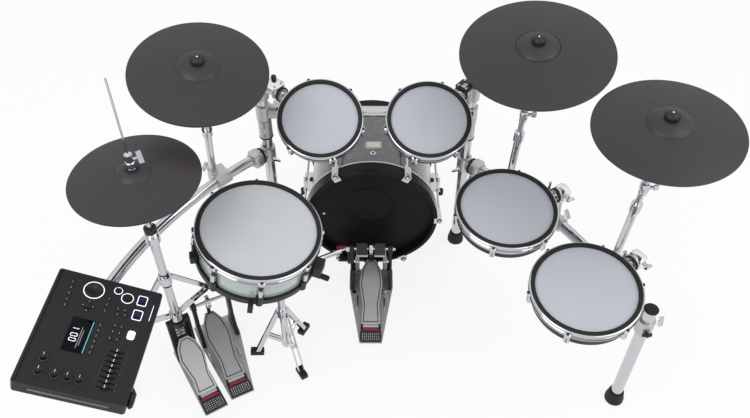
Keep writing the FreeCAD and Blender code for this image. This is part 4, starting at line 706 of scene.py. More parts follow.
def disc_frame(node: str) -> Frame:
    """Finds the frame of a round flat node, with z out of its upper side.

    Args:
        node: The node's name.

    Returns:
        A frame at the middle of the node's outline.
    """
    points = corners(node)
    axes = np.linalg.svd(points - points.mean(0), full_matrices=False)[2]
    normal = Vector(axes[2]).normalized()
    if normal.z < 0:
        normal.negate()
    across = (RIGHT - normal * normal.x).normalized()
    along = normal.cross(across)
    middle = Vector((0, 0, 0))
    for way in (across, along, normal):
        reach = points @ np.array(way)
        middle += way * float((reach.min() + reach.max()) / 2)
    top = float((points @ np.array(normal)).max())
    return Frame(middle + normal * (top - middle.dot(normal)), across, along, normal)


def joint_frame(joint: str) -> Frame:
    """Gives a level hinge's frame: its y along the axis, its z up.

    Args:
        joint: The joint's name.

    Returns:
        The frame.
    """
    found = next(entry for entry in KIT["joints"] if entry["name"] == joint)
    axis = Vector(found["axis"]).normalized()
    return Frame(Vector(found["pos_m"]), axis.cross(UP), axis, UP)


def dress(node: str, finish: Finish, *zones: tuple[Test, Finish]) -> None:
    """Gives a CAD node its finishes.

    Args:
        node: The node's name.
        finish: The finish of every face that no zone takes.
        zones: Tests of a face's middle, each with its finish; the first that holds is used.
    """
    thing = KIT["nodes"][node]
    thing.data.materials.clear()
    for part in (finish, *(zone[1] for zone in zones)):
        thing.data.materials.append(part.material())
    for face in thing.data.polygons:
        middle = face.center
        face.material_index = next((index + 1 for index, zone in enumerate(zones) if zone[0](middle)), 0)


def below(height: float) -> Test:
    """Gives a test for faces under a height above the floor."""
    return lambda point: point.z < height * MM


def rectangle(width: float, length: float, cut: float) -> Outline:
    """Gives a rectangle with cut corners.

    Args:
        width: Its size along x.
        length: Its size along y.
        cut: How far its corners are cut.

    Returns:
        Its outline.
    """
    x, y = width / 2, length / 2
    right = [(x - cut, -y), (x, -y + cut), (x, y - cut), (x - cut, y)]
    return right + [(-across, along) for across, along in reversed(right)]


@dataclass
class Studio:
    """The floor, the light and the photograph's camera, in metres and degrees."""

    camera_spot: Vector = field(default_factory=lambda: Vector((-0.0317, -1.6521, 2.295)))
    camera_pitch: float = 45.56
    camera_roll: float = -0.33
    focal_share: float = 768.4 / PHOTO_WIDTH
    sensor_width: float = 36.0
    view_end: float = 100.0
    floor_size: float = 40.0
    floor_white: float = 0.85
    sky: float = 0.8
    horizon: float = 0.65
    steepness: float = 1.5
    lamp_aim: Vector = field(default_factory=lambda: Vector((0, 0, 0.5)))
    lamp_width: float = 2.2
    lamps: tuple[tuple[str, Triple, float], ...] = (("key", (-1.8, -1.6, 3.4), 40.0),
                                                    ("fill", (2.2, -0.8, 3.0), 26.0))

    def camera(self) -> None:
        """Sets the camera."""
        pitch, roll = math.radians(self.camera_pitch), math.radians(self.camera_roll)
        down = Vector((0, -math.sin(pitch), -math.cos(pitch)))
        ahead = Vector((0, math.cos(pitch), -math.sin(pitch)))
        right = RIGHT * math.cos(roll) + down * math.sin(roll)
        low = down * math.cos(roll) - RIGHT * math.sin(roll)
        lens = bpy.data.cameras.new("camera")
        lens.sensor_width = self.sensor_width
        lens.lens = self.sensor_width * self.focal_share
        lens.clip_end = self.view_end
        camera = bpy.data.objects.new("camera", lens)
        camera.matrix_world = Frame(self.camera_spot, right, -low, -ahead).matrix()
        bpy.context.scene.collection.objects.link(camera)
        bpy.context.scene.camera = camera

    def world(self) -> None:
        bpy.context.scene.world = bpy.data.worlds.new("studio")
        shader = Shader(bpy.context.scene.world)
        back = shader.tree.nodes["Background"]
        way = shader.node("ShaderNodeTexCoord", {}, {}, "Generated")
        rise = shader.node("ShaderNodeSeparateXYZ", {}, {0: way}, 2).size()
        fade = (rise * self.steepness).upto(1.0) * (1.0 - self.horizon) + self.horizon
        eye = shader.node("ShaderNodeLightPath", {}, {}, "Is Camera Ray")
        seen = self.seen(shader) + eye.part("Is Transmission Ray")
        shader.feed(back, "Color", (1.0, 1.0, 1.0, 1.0))
        light = (seen * (1.0 - self.sky) + self.sky) * fade
        shader.feed(back, "Strength", light * (1.0 - eye) + eye)

    def seen(self, shader: Shader) -> Value:
        """Gives 1 for rays of the camera and for those that glossy surfaces send out."""
        eye = shader.node("ShaderNodeLightPath", {}, {}, "Is Camera Ray")
        return (eye + eye.part("Is Glossy Ray")).upto(1.0)

    def lamp(self, name: str, spot: Triple, power: float) -> None:
        """Args:
            name: The lamp's name.
            spot: Its place.
            power: Its power in watts.
        """
        light = bpy.data.lights.new(name, "AREA")
        light.energy, light.size = power, self.lamp_width
        lamp = bpy.data.objects.new(name, light)
        lamp.location = spot
        lamp.rotation_euler = (self.lamp_aim - lamp.location).to_track_quat("-Z", "Y").to_euler()
        bpy.context.scene.collection.objects.link(lamp)

    def floor(self) -> None:
        shape = bmesh.new()
        bmesh.ops.create_grid(shape, x_segments=1, y_segments=1, size=self.floor_size / 2)
        mesh = bpy.data.meshes.new("floor")
        shape.to_mesh(mesh)
        shape.free()
        floor = bpy.data.objects.new("floor", mesh)
        mesh.materials.append(self.floor_finish())
        bpy.context.scene.collection.objects.link(floor)

    def floor_finish(self) -> bpy.types.Material:
        """Makes the floor's material.

        Returns:
            A pale surface that the camera sees nearly white.
        """
        shader = Shader(Finish("pale_floor", (0.92, 0.92, 0.92), 0.9, drift=0.01, grain=0.0).material())
        base = Value(shader, shader.tree.nodes["Principled BSDF"].outputs[0])
        white = shader.node("ShaderNodeEmission", {}, {"Color": (1.0, 1.0, 1.0, 1.0), "Strength": 1.0})
        share = self.seen(shader) * self.floor_white
        blend = shader.node("ShaderNodeMixShader", {}, {0: share, 1: base, 2: white})
        shader.feed(shader.tree.nodes["Material Output"], "Surface", blend)
        return shader.owner

    def build(self) -> None:
        """Makes the whole studio."""
        bpy.context.scene.view_settings.view_transform = "Standard"
        self.camera()
        self.world()
        for lamp in self.lamps:
            self.lamp(*lamp)
        self.floor()


@dataclass
class Pad:
    """One pad: its hoop, head and shell, and the trim round them."""

    name: str
    radius: float
    lugs: int = 6
    head: Finish = HEAD
    rim_foot: float = -1
    bolt_foot: float = -14.6
    bolt_reach: float = 2.5
    line_at: float = -7.5
    ear_slack: float = 1.5
    ear_size: Triple = (15, 21, 15)
    ear_drop: float = -10
    ear_bolt: Pair = (4.6, 5)
    band: Outline = ((-2, -4), (3.2, -4), (4.6, -2.4), (4.6, 2.2), (3.2, 4), (0.6, 5), (-2, 5), (-2, -4))

    def __post_init__(self) -> None:
        """Finds the pad's frame."""
        self.frame = disc_frame(f"{self.name}_head")
        self.body = Body(self.name)

    def spot(self, point: Vector) -> Pair:
        """Gives a point's radius and height in the pad's frame."""
        own = self.frame.inside(point)
        return math.hypot(own.x, own.y), own.z

    def lug_turns(self) -> list[float]:
        """Finds the angles of the lugs, in degrees.

        Returns:
            One angle for each lug.
        """
        own = np.array([self.frame.inside(Vector(point)) for point in corners(f"{self.name}_hoop")])
        reach = np.hypot(own[:, 0], own[:, 1])
        ears = own[reach > reach.max() - self.ear_slack]
        mean = np.exp(1j * self.lugs * np.arctan2(ears[:, 1], ears[:, 0])).mean()
        first = math.degrees(float(np.angle(mean))) / self.lugs
        return [first + 360.0 / self.lugs * step for step in range(self.lugs)]

    def dress_hoop(self) -> None:
        """Gives the hoop its rubber rim and dark bolts, and the head its cloth."""
        dress(f"{self.name}_hoop", CHROME, (self.on_rim, RUBBER), (self.on_bolt, DARK_METAL))
        dress(f"{self.name}_head", self.head)

    def on_rim(self, point: Vector) -> bool:
        """Tells whether a point of the hoop is on the rubber rim."""
        return self.spot(point)[1] > self.rim_foot

    def on_bolt(self, point: Vector) -> bool:
        """Tells whether a point of the hoop is on one of its bolts."""
        reach, height = self.spot(point)
        return reach > self.radius + self.bolt_reach and height > self.bolt_foot

    def hoop_band(self, shape: Shape) -> None:
        """Adds the bright band round the rim, the dark line under it and the ears.

        Args:
            shape: The piece they go into.
        """
        edge = self.radius
        shape.turning(self.frame, [(edge + out, height) for out, height in self.band], CHROME, steps=128)
        shape.ring(self.frame, edge - 1, edge + 0.4, self.line_at - 1, self.line_at + 1, DARK_METAL, steps=96)
        for turn in self.lug_turns():
            ear = self.frame.round(edge + 4, turn, self.ear_drop)
            shape.block(ear, self.ear_size, CHROME, bevel=5)
            shape.bolt(ear.moved(2.4, 0.0, self.ear_size[2] / 2 - 0.5), *self.ear_bolt, DARK_METAL)


@dataclass
class Tom(Pad):
    """A tom with the bracket that carries it."""

    plate: Finish = BLACK
    cover: Finish | None = None
    cover_spot: Pair = (30, 22)
    pin: bool = False
    floor_edge: float = -38
    wall_foot: float = -56.5
    lug_middle: float = -33
    lug_size: Triple = (17, 18, 34)
    lug_groove: Triple = (1.2, 3, 20)
    plate_depths: Pair = (-8, 1)
    plate_half: Pair = (29.6, 15.6)
    plate_bolt: Pair = (5.5, 4)
    plate_bolt_side: float = 20
    pin_spot: Pair = (12, 16)
    pin_span: Pair = (-8, 60)
    shelf_size: Triple = (24, 48, 7)
    block_size: Triple = (16, 20, 36)
    cover_size: Triple = (60, 52, 9)
    cover_bolts: Outline = ((-18, 15), (18, 15), (-18, -15))
    cover_knob: Pair = (18, -14)
    casting_size: Triple = (40, 52, 48)
    wing_size: Triple = (30, 4, 13)

    def __post_init__(self) -> None:
        """Finds the pad's and the bracket's frames."""
        super().__post_init__()
        self.mount = joint_frame(f"{self.name}_tilt")
        if self.mount.x.dot(self.mount.spot - self.frame.spot) < 0:
            self.mount = Frame(self.mount.spot, -self.mount.x, -self.mount.y, UP)
        step = self.frame.inside(self.mount.spot)
        self.bracket = self.frame.round(self.radius, math.degrees(math.atan2(step.y, step.x)), step.z)

    def on_plate(self, point: Vector) -> bool:
        """Tells whether a point of the shell is on the bracket's plate."""
        own = self.bracket.inside(point)
        deep = self.plate_depths[0] < own.x < self.plate_depths[1]
        return deep and abs(own.y) < self.plate_half[0] and abs(own.z) < self.plate_half[1]

    def trim(self) -> None:
        """Adds the hoop's band, the lugs' casings, and the bracket's bolts, plate and pin."""
        shape = Shape(f"{self.name}_trim")
        self.hoop_band(shape)
        wall = self.radius - 8
        shape.ring(self.frame, wall, wall + 1.8, self.wall_foot, self.floor_edge, DARK_METAL, steps=96)
        for turn in self.lug_turns():
            lug = self.frame.round(self.radius + 0.5, turn, self.lug_middle)
            shape.block(lug, self.lug_size, CHROME, bevel=5)
            shape.block(lug.moved(self.lug_size[0] / 2 - 0.3, 0.0), self.lug_groove, DARK_METAL, bevel=0.4)
        for side in (-1, 1):
            shape.bolt(self.bracket.out(-0.2, side * self.plate_bolt_side), *self.plate_bolt, CHROME)
        if self.pin:
            shape.rod(self.bracket.moved(*self.pin_spot), 4, *self.pin_span, STEEL)
            shape.block(self.bracket.moved(8, 0.0, 20), self.shelf_size, BLACK, bevel=2)
            shape.block(self.bracket.moved(9, 0.0), self.block_size, BLACK, bevel=3)
            for side in (-15, 0):
                shape.bolt(self.bracket.moved(13, side, 23), 4.6, 4, CHROME)
        shape.ride(self.body, Slot.BLACK)

    def socket(self) -> None:
        """Adds the socket's band, its knob and its cover on the carrier's side."""
        shape = Shape(f"{self.name}_socket")
        along = Frame(self.mount.spot, self.mount.y, self.mount.z, self.mount.x)
        shape.ring(along, 21, 25.4, -6, 2, RUBBER)
        shape.ring(along, 22, 24.8, 15, 17, DARK_METAL)
        shape.bolt(facing(self.mount.at(10, 23, 0.0), self.mount.y), 7, 6, CHROME)
        if self.cover:
            top = self.mount.moved(self.cover_spot[0], 0.0, self.cover_spot[1])
            shape.plate(top, rectangle(*self.cover_size), 9, self.cover, bevel=2)
            for x, y in self.cover_bolts:
                shape.bolt(top.moved(x, y, 8.6), 4.5, 4, CHROME)
            shape.rod(top.moved(*self.cover_knob), 9, 5, 22, BLACK)
        if self.pin:
            shape.block(self.mount.moved(25, 0.0), self.casting_size, BRIGHT_CAST, bevel=11)
            wing = facing(self.mount.at(26, -self.casting_size[1] / 2, 4), -self.mount.y)
            shape.rod(wing, 6, -2, 14, CHROME)
            shape.block(wing.moved(0.0, 0.0, 15), self.wing_size, CHROME, bevel=1.8)
        shape.ride(Body.KIT, Slot.CAST)

    def build(self) -> None:
        """Dresses the tom and adds its small pieces."""
        self.dress_hoop()
        dress(f"{self.name}_shell", CHROME, (self.on_plate, self.plate))
        self.trim()
        self.socket()


@dataclass
class Snare(Pad):
    """The snare on its own stand."""

    tube_low: float = -76
    tube_high: float = -42
    grip_reach: float = 187
    lug_reach: float = 188
    box_reach: float = 205
    box_face: float = 211
    box_drop: float = -97
    clamp_reach: float = 192
    clamp_turn: float = -161
    clamp_drop: float = -92
    clamp_size: Triple = (22, 28, 30)
    jack_side: float = 10
    tip_turn: float = -18
    tip_drop: float = -112
    tip_span: Pair = (150, 210)
    grip_span: Pair = (204, 238)

    def box_turn(self) -> float:
        """Finds the angle of the jack box, in degrees."""
        own = np.array([self.frame.inside(Vector(point)) for point in corners("snare_lugs")])
        far = own[np.hypot(own[:, 0], own[:, 1]) > self.box_reach]
        return math.degrees(math.atan2(far[:, 1].mean(), far[:, 0].mean()))

    def trim(self) -> None:
        """Adds the hoop's band, the lugs' tubes, the jacks, a clamp and the basket's tip."""
        shape = Shape("snare_trim")
        self.hoop_band(shape)
        for turn in self.lug_turns():
            lug = self.frame.round(self.lug_reach, turn)
            shape.rod(lug, 8, self.tube_low, self.tube_high, CHROME)
            shape.rod(lug, 5, self.tube_high - 1, self.tube_high + 12, DARK_METAL)
            shape.ring(lug, 7, 8.8, self.tube_low + 3, self.tube_low + 6, RUBBER, steps=24)
        box = self.frame.round(self.box_face, self.box_turn(), self.box_drop)
        for side in (-1, 1):
            jack = box.out(0.0, side * self.jack_side, 4)
            shape.ring(jack, 3.5, 7, -1, 2.5, CHROME, steps=24)
        clamp = self.frame.round(self.clamp_reach, self.clamp_turn, self.clamp_drop)
        shape.block(clamp, self.clamp_size, BLACK, bevel=3)
        tip = self.frame.round(0.0, self.tip_turn, self.tip_drop).out(0.0, 0.0)
        shape.rod(tip, 6, *self.tip_span, CHROME)
        shape.rod(tip, 9, *self.grip_span, RUBBER)
        shape.ride(self.body, Slot.BRIGHT)

    def build(self) -> None:
        """Dresses the snare and its stand."""
        self.dress_hoop()
        dress("snare_shell", MINT)
        dress("snare_lugs", BLACK)
        dress("snare_basket", CHROME, (lambda point: self.spot(point)[0] > self.grip_reach, RUBBER))
        dress("snare_stand", CHROME)
        dress("snare_legs", CHROME, (below(TOE_TOP), RUBBER))
        self.trim()


@dataclass
class Rack:
    """Tubes, clamps and feet."""

    posts: tuple[Triple, ...] = ((-416.7, 432.9, 460.0), (292.3, 432.9, 415.0))
    legs: tuple[Triple, ...] = ((-867.7, -287.1, 460.0), (777.3, -287.1, 415.0))
    left_clamp: Triple = (-574.7, 314.9, 460.0)
    tube: float = 19.0
    sleeve: float = 26.0
    joint_reach: float = 140.0
    joint_middle: float = 54.0
    joint_size: Triple = (54, 54, 38)
    joint_bolt: Pair = (7, 6)
    washer_span: Pair = (27, 35)
    clamp_size: Triple = (52, 52, 48)
    wing_size: Triple = (30, 8, 14)
    skirt: Outline = ((18, 0), (31, 0), (31, 3), (27, 6), (23.5, 14), (18, 18), (18, 0))
    cast_low: float = 540.0
    cast_high: float = 612.0

    def joint_ways(self) -> list[tuple[Vector, Vector]]:
        """Finds where each arm leaves its post or leg.

        Returns:
            Pairs of place and direction.
        """
        points = corners("rack_arms")
        found = []
        for place in (*self.posts, *self.legs):
            spot = WORLD.at(*place)
            near = points[np.linalg.norm(points - np.array(spot), axis=1) < self.joint_reach * MM]
            way = Vector(near.mean(0)) - spot
            way.z = 0.0
            found.append((spot, way.normalized()))
        return found

    def joints(self) -> None:
        """Adds the castings, black washers and bolts of the joints at the arms' ends."""
        shape = Shape("rack_joint_trim")
        for spot, way in self.joint_ways():
            along = facing(spot, way)
            shape.ring(along, self.tube, self.sleeve + 4, *self.washer_span, RUBBER)
            shape.block(along.moved(0.0, 0.0, self.joint_middle), self.joint_size, CAST, bevel=8)
            for side in (-1, 1):
                seat = along.at(side * (self.sleeve + 0.6), 0.0, self.joint_middle)
                shape.bolt(facing(seat, along.x * side), *self.joint_bolt, CHROME)
        clamp = WORLD.at(*self.left_clamp)
        shape.block(facing(clamp, clamp - WORLD.at(*self.posts[0])), self.clamp_size, CAST, bevel=7)
        for spot in self.legs:
            wing = WORLD.moved(*spot).moved(0.0, -self.tube - 14, -6)
            shape.block(wing, self.wing_size, BLACK, bevel=3)
            shape.rod(facing(wing.spot, -AWAY), 6, -18, 8, BLACK)
        shape.ride(Body.KIT, Slot.RUBBER)

    def feet(self) -> None:
        """Adds the flared skirts of the rubber feet."""
        shape = Shape("rack_foot_skirts")
        for x, y, _ in (*self.posts, *self.legs):
            shape.turning(WORLD.moved(x, y), self.skirt, RUBBER, steps=48)
        shape.ride(Body.KIT, Slot.RUBBER)

    def sleeves(self) -> None:
        """Adds the cast sleeves on the posts under the cross bar."""
        shape = Shape("rack_post_sleeves")
        for x, y, _ in self.posts:
            post = WORLD.moved(x, y)
            shape.ring(post, self.tube - 1, self.tube + 5, self.cast_low, self.cast_high, CAST)
            shape.ring(post, self.tube - 1, self.tube + 6, self.cast_low - 5, self.cast_low, RUBBER)
            bar = post.moved(0.0, -self.tube - 5, (self.cast_low + self.cast_high) / 2)
            shape.block(bar, (14, 8, self.cast_high - self.cast_low - 12), CAST, bevel=2)
            for height in (self.cast_low + 16, self.cast_high - 16):
                shape.bolt(facing(post.at(0.0, -self.tube - 8.6, height), -AWAY), 5, 4, CHROME)
        shape.ride(Body.KIT, Slot.CAST)

    def build(self) -> None:
        """Dresses the rack and adds its small pieces."""
        for node in ("rack_posts", "rack_cross_bar", "rack_arms", "rack_legs", "rack_wing_screws"):
            dress(node, CHROME)
        dress("rack_clamps", CAST)
        dress("tom_mounts", CAST)
        dress("rack_ends", RUBBER)
        self.joints()
        self.feet()
        self.sleeves()


@dataclass
class Cymbals:
    """Cymbal pads, posts and nuts, and the hi-hat's stand."""

    hihat: Pair = (-684.7, -133.1)
    tube: float = 14
    bodies: tuple[Body, ...] = (Body.LEFT_CRASH, Body.RIDE, Body.RIGHT_CRASH)
    tilter_spots: tuple[Triple, ...] = ((436.4, 261.0, 775.0), (747.2, -48.3, 757.0))
    cap_gap: float = 3.4
    stud_cut: float = 22
    stud_low: float = 20
    stud_reach: float = 10
    low_hat_share: float = 0.88
    bell_dome: Outline = ((64, -21), (64, -16.8), (61, -13), (54, -8.6), (44, -4.6), (33, -1.4), (24, 0.2),
                          (15.2, 0.6), (15.2, -3), (64, -21))
    rib_reach: float = 19.4
    rib_size: Triple = (3, 4, 8)
    rib_turn: int = 30
    tilter_size: Triple = (26, 28, 36)
    tilter_wing: Triple = (7, 22, 16)
    band_feet: Pair = (400, 455)
    seat_span: Pair = (644, 668)
    collar_span: Pair = (600, 644)
    cap_dome: Outline = ((4.4, 0), (19, 0), (20.5, 2), (20, 8), (17, 12.5), (11, 16), (5, 17.4), (0, 17.8))

    def build(self) -> None:
        """Dresses the cymbals and the hi-hat."""
        for node in ("left_crash", "ride", "right_crash", "hihat_top", "hihat_bottom"):
            frame = disc_frame(node)
            dress(node, replace(CYMBAL, name=f"{node}_rubber", middle=tuple(frame.spot), axis=tuple(frame.z)))
        dress("cymbal_posts", CHROME)
        dress("cymbal_nuts", GLOSS_BLACK)
        dress("hihat_stand", CHROME)
        dress("hihat_legs", CHROME, (below(TOE_TOP), RUBBER))
        dress("hihat_rod", CHROME)
        for body in self.bodies:
            self.bell(body)
        self.caps()
        self.posts()
        self.tilters()
        self.low_hat()
        self.bands()
        self.clutch()

    def bell(self, body: Body) -> None:
        """Adds the broad bell of a cymbal, and round the ride's bell a near-black ring of painted shade at
        its foot.

        Args:
            body: The cymbal's body, which is named as its node.
        """
        shape, frame = Shape(f"{body.value}_bell"), disc_frame(body.value)
        finish = replace(CYMBAL, name=f"{body.value}_rubber")
        shape.turning(frame, self.bell_dome, finish, steps=96)
        if body is Body.RIDE:
            # Painted shade: a near-black ring where the ride's bell meets the bow.
            shape.ring(frame, 63, 66.6, -21, -16.4, GLASS_AND_BELL_SHADE, steps=96)
        shape.ride(body, Slot.CYMBAL)

    def caps(self) -> None:
        """Adds the ribbed caps of the cymbals, in place of the plain nuts, each with a pale dot painted as
        the highlight on the stud's tip.
        """
        shape = Shape("cymbal_caps")
        for body in self.bodies:
            frame = disc_frame(body.value).moved(0.0, 0.0, self.cap_gap)
            shape.turning(frame, self.cap_dome, BLACK, steps=48)
            for turn in range(0, 360, self.rib_turn):
                shape.block(frame.round(self.rib_reach, turn, 5), self.rib_size, RUBBER, bevel=1)
            # Painted highlight: a pale dot for the bright chrome tip of the stud.
            shape.rod(frame, 2.8, 16.6, 18.6, WHITE_PRINT_AND_HIGHLIGHT)
        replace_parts(shape.ride(Body.KIT, Slot.BLACK), "cymbal_nuts")

    def posts(self) -> None:
        """Adds the cymbals' posts with studs that end inside the caps, in place of the plain ones."""
        shape, moves = Shape("cymbal_posts_low"), []
        for body in self.bodies:
            frame = disc_frame(body.value)
            moves.append((lambda point, frame=frame: self.on_stud(frame.inside(point)),
                          Matrix.Translation(frame.z * (-self.stud_cut * MM))))
        shape.take("cymbal_posts", CHROME, moves)
        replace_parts(shape.ride(Body.KIT, Slot.BRIGHT), "cymbal_posts")

    def on_stud(self, own: Vector) -> bool:
        """Tells whether a point, measured from the bell's top, is at the end of a stud."""
        return own.z > self.stud_low and math.hypot(own.x, own.y) < self.stud_reach

    def tilters(self) -> None:
        """Adds the tilters' castings and wings on two of the posts."""
        shape = Shape("cymbal_tilters")
        for spot in self.tilter_spots:
            tilter = WORLD.moved(*spot)
            shape.block(tilter, self.tilter_size, CHROME, bevel=7)
            shape.ring(tilter, 9, 13, -26, -17, CHROME, steps=28)
            out = facing(tilter.at(12, -4, 2), RIGHT)
            shape.rod(out, 6, 0.0, 14, CHROME)
            shape.block(out.moved(0.0, 0.0, 20), self.tilter_wing, CHROME, bevel=3)
        shape.ride(Body.KIT, Slot.BRIGHT)

    def low_hat(self) -> None:
        """Adds the lower hi-hat, a little smaller than the upper one, in place of the plain one."""
        shape, frame = Shape("hihat_bottom_low"), disc_frame("hihat_bottom")
        shift = Matrix.Translation(frame.spot)
        scale = Matrix.Diagonal((self.low_hat_share, self.low_hat_share, 1.0, 1.0))
        shape.take("hihat_bottom", replace(CYMBAL, name="hihat_bottom_rubber"),
                   [(lambda point: True, shift @ scale @ shift.inverted())])
        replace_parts(shape.ride(Body.KIT, Slot.CYMBAL), "hihat_bottom")

    def bands(self) -> None:
        """Adds the rings and collars on the hi-hat's tube."""
        shape = Shape("hihat_bands")
        stand = WORLD.moved(*self.hihat)
        for bottom in self.band_feet:
            shape.ring(stand, self.tube - 1, self.tube + 1.4, bottom, bottom + 5, DARK_METAL)
        shape.ring(stand, 5, 19, *self.seat_span, BLACK)
        shape.ring(stand, 5, 18, *self.collar_span, CHROME)
        shape.ride(Body.KIT, Slot.RUBBER)

    def clutch(self) -> None:
        """Adds the dark ring and the bright sleeve of the hi-hat's clutch."""
        shape, frame = Shape("hihat_clutch_trim"), disc_frame("hihat_top")
        shape.ring(frame, 18.5, 22, -2, 1.2, RUBBER, steps=48)
        shape.ring(frame, 6, 13.5, -0.4, 26, CHROME, steps=40)
        shape.ring(frame, 12, 15.5, 8, 11, DARK_METAL, steps=40)
        shape.ride(Body.HIHAT_PULL, Slot.RUBBER)


@dataclass
class Kick:
    """The kick drum."""

    spot: Triple = (-44.7, 292.9, 254.0)
    tilt: float = -0.6
    shell: float = 227
    hoop: float = 242
    hoop_width: float = 56
    head: float = -27.3
    depth: float = 400
    claws: tuple[int, ...] = (0, 60, 120, 180, 240, 300)
    claw_bolt: Pair = (8, 7)
    claw_grip: Triple = (3, 15, 40)
    wing_size: Triple = (5, 40, 15)
    patch_spot: Pair = (-5, 51)
    patch_radius: float = 81
    screw_spot: Pair = (-175, 7)
    wing_back: float = -205
    badge_size: Triple = (58, 38, 4)
    badge_spot: Pair = (6, -157)
    vent_spot: Pair = (5, -112)
    spur_tip: float = 22.5

    def __post_init__(self) -> None:
        """Sets the drum's frame, with z towards the player."""
        turn = math.radians(self.tilt)
        normal = Vector((0, -math.cos(turn), math.sin(turn)))
        self.frame = Frame(WORLD.at(*self.spot), RIGHT, normal.cross(RIGHT), normal)

    def front(self) -> None:
        """Adds the patch and the screw on the player's head."""
        shape = Shape("kick_patch")
        patch, edge = self.frame.moved(*self.patch_spot, self.head), self.patch_radius
        disc = [(0.0, -0.5), (edge, -0.5), (edge, 0.6), (edge - 2, 1), (0.0, 1)]
        shape.turning(patch, disc, PATCH, steps=96)
        shape.ring(patch, edge - 1, edge + 2.5, -0.5, 1.4, KICK_HEAD, steps=96)
        shape.bolt(self.frame.moved(*self.screw_spot, self.head - 0.3), 5.5, 4, CHROME)
        shape.ride(Body.KIT, Slot.KICK_HEAD)

    def hardware(self) -> None:
        """Adds a pale ring painted as the highlight along each hoop's rear edge, and the claws' bolts and
        grips.
        """
        shape = Shape("kick_trim")
        back = self.frame.moved(0.0, 0.0, -self.depth).turned(self.frame.y, 180.0)
        for side in (self.frame, back):
            edge = -self.hoop_width + 2
            # Painted highlight: a pale ring along the hoop's rear edge, where light catches it.
            shape.ring(side, self.hoop - 2, self.hoop + 0.6, edge - 1.6, edge + 4, PALE_MARK_AND_HIGHLIGHT, steps=128)
            for turn in self.claws:
                claw = side.round(self.hoop + 8, turn if side is self.frame else 180 - turn)
                shape.bolt(claw.moved(0.0, 0.0, 4), *self.claw_bolt, CHROME)
                shape.ring(claw.moved(0.0, 0.0, 4), 7, 10, -0.5, 1.5, RUBBER, steps=28)
                shape.block(claw.moved(5, 0.0, -24), self.claw_grip, CHROME, bevel=1.2)
        for side in (-1, 1):
            out = facing(self.frame.at(side * (self.shell - 2), 0.0, self.wing_back), self.frame.x * side)
            shape.rod(out, 15, 0.0, 14, BLACK)
            shape.rod(out, 8, 10, 32, CHROME)
            shape.block(out.moved(0.0, 0.0, 30), self.wing_size, CHROME, bevel=2)
        shape.ride(Body.KIT, Slot.BRIGHT)

    def on_top(self, spot: Pair, height: float) -> Frame:
        """Gives a frame on top of the shell, with z up.

        Args:
            spot: Its places along the drum's x and z.
            height: Its height above the drum's axis.

        Returns:
            The frame.
        """
        return Frame(self.frame.at(spot[0], height, spot[1]), self.frame.x, -self.frame.z, self.frame.y)

    def badge(self) -> None:
        """Adds the bare badge plate and the vent on top of the shell."""
        shape = Shape("kick_badge")
        plate = self.on_top(self.badge_spot, self.shell - 1.6)
        shape.plate(plate, rectangle(*self.badge_size), 2.6, IVORY, bevel=0.8)
        shape.line(plate.moved(0.0, 0.0, 2.4), rectangle(*self.badge_size), 3, 1.4, 0.5, DARK_METAL)
        vent = self.on_top(self.vent_spot, self.shell - 0.5)
        shape.ring(vent, 5, 10, 0.0, 3, CHROME, steps=32)
        shape.ring(vent, 0.5, 5.2, 0.0, 0.9, RUBBER, steps=32)
        shape.ride(Body.KIT, Slot.BRIGHT)

    def build(self) -> None:
        """Dresses the kick and adds its small pieces."""
        dress("kick_shell", SPARKLE)
        dress("kick_hoops", HOOP_BLACK)
        dress("kick_heads", KICK_HEAD)
        dress("kick_claws", CHROME)
        dress("kick_spurs", CHROME, (below(self.spur_tip), RUBBER))
        self.front()
        self.hardware()
        self.badge()


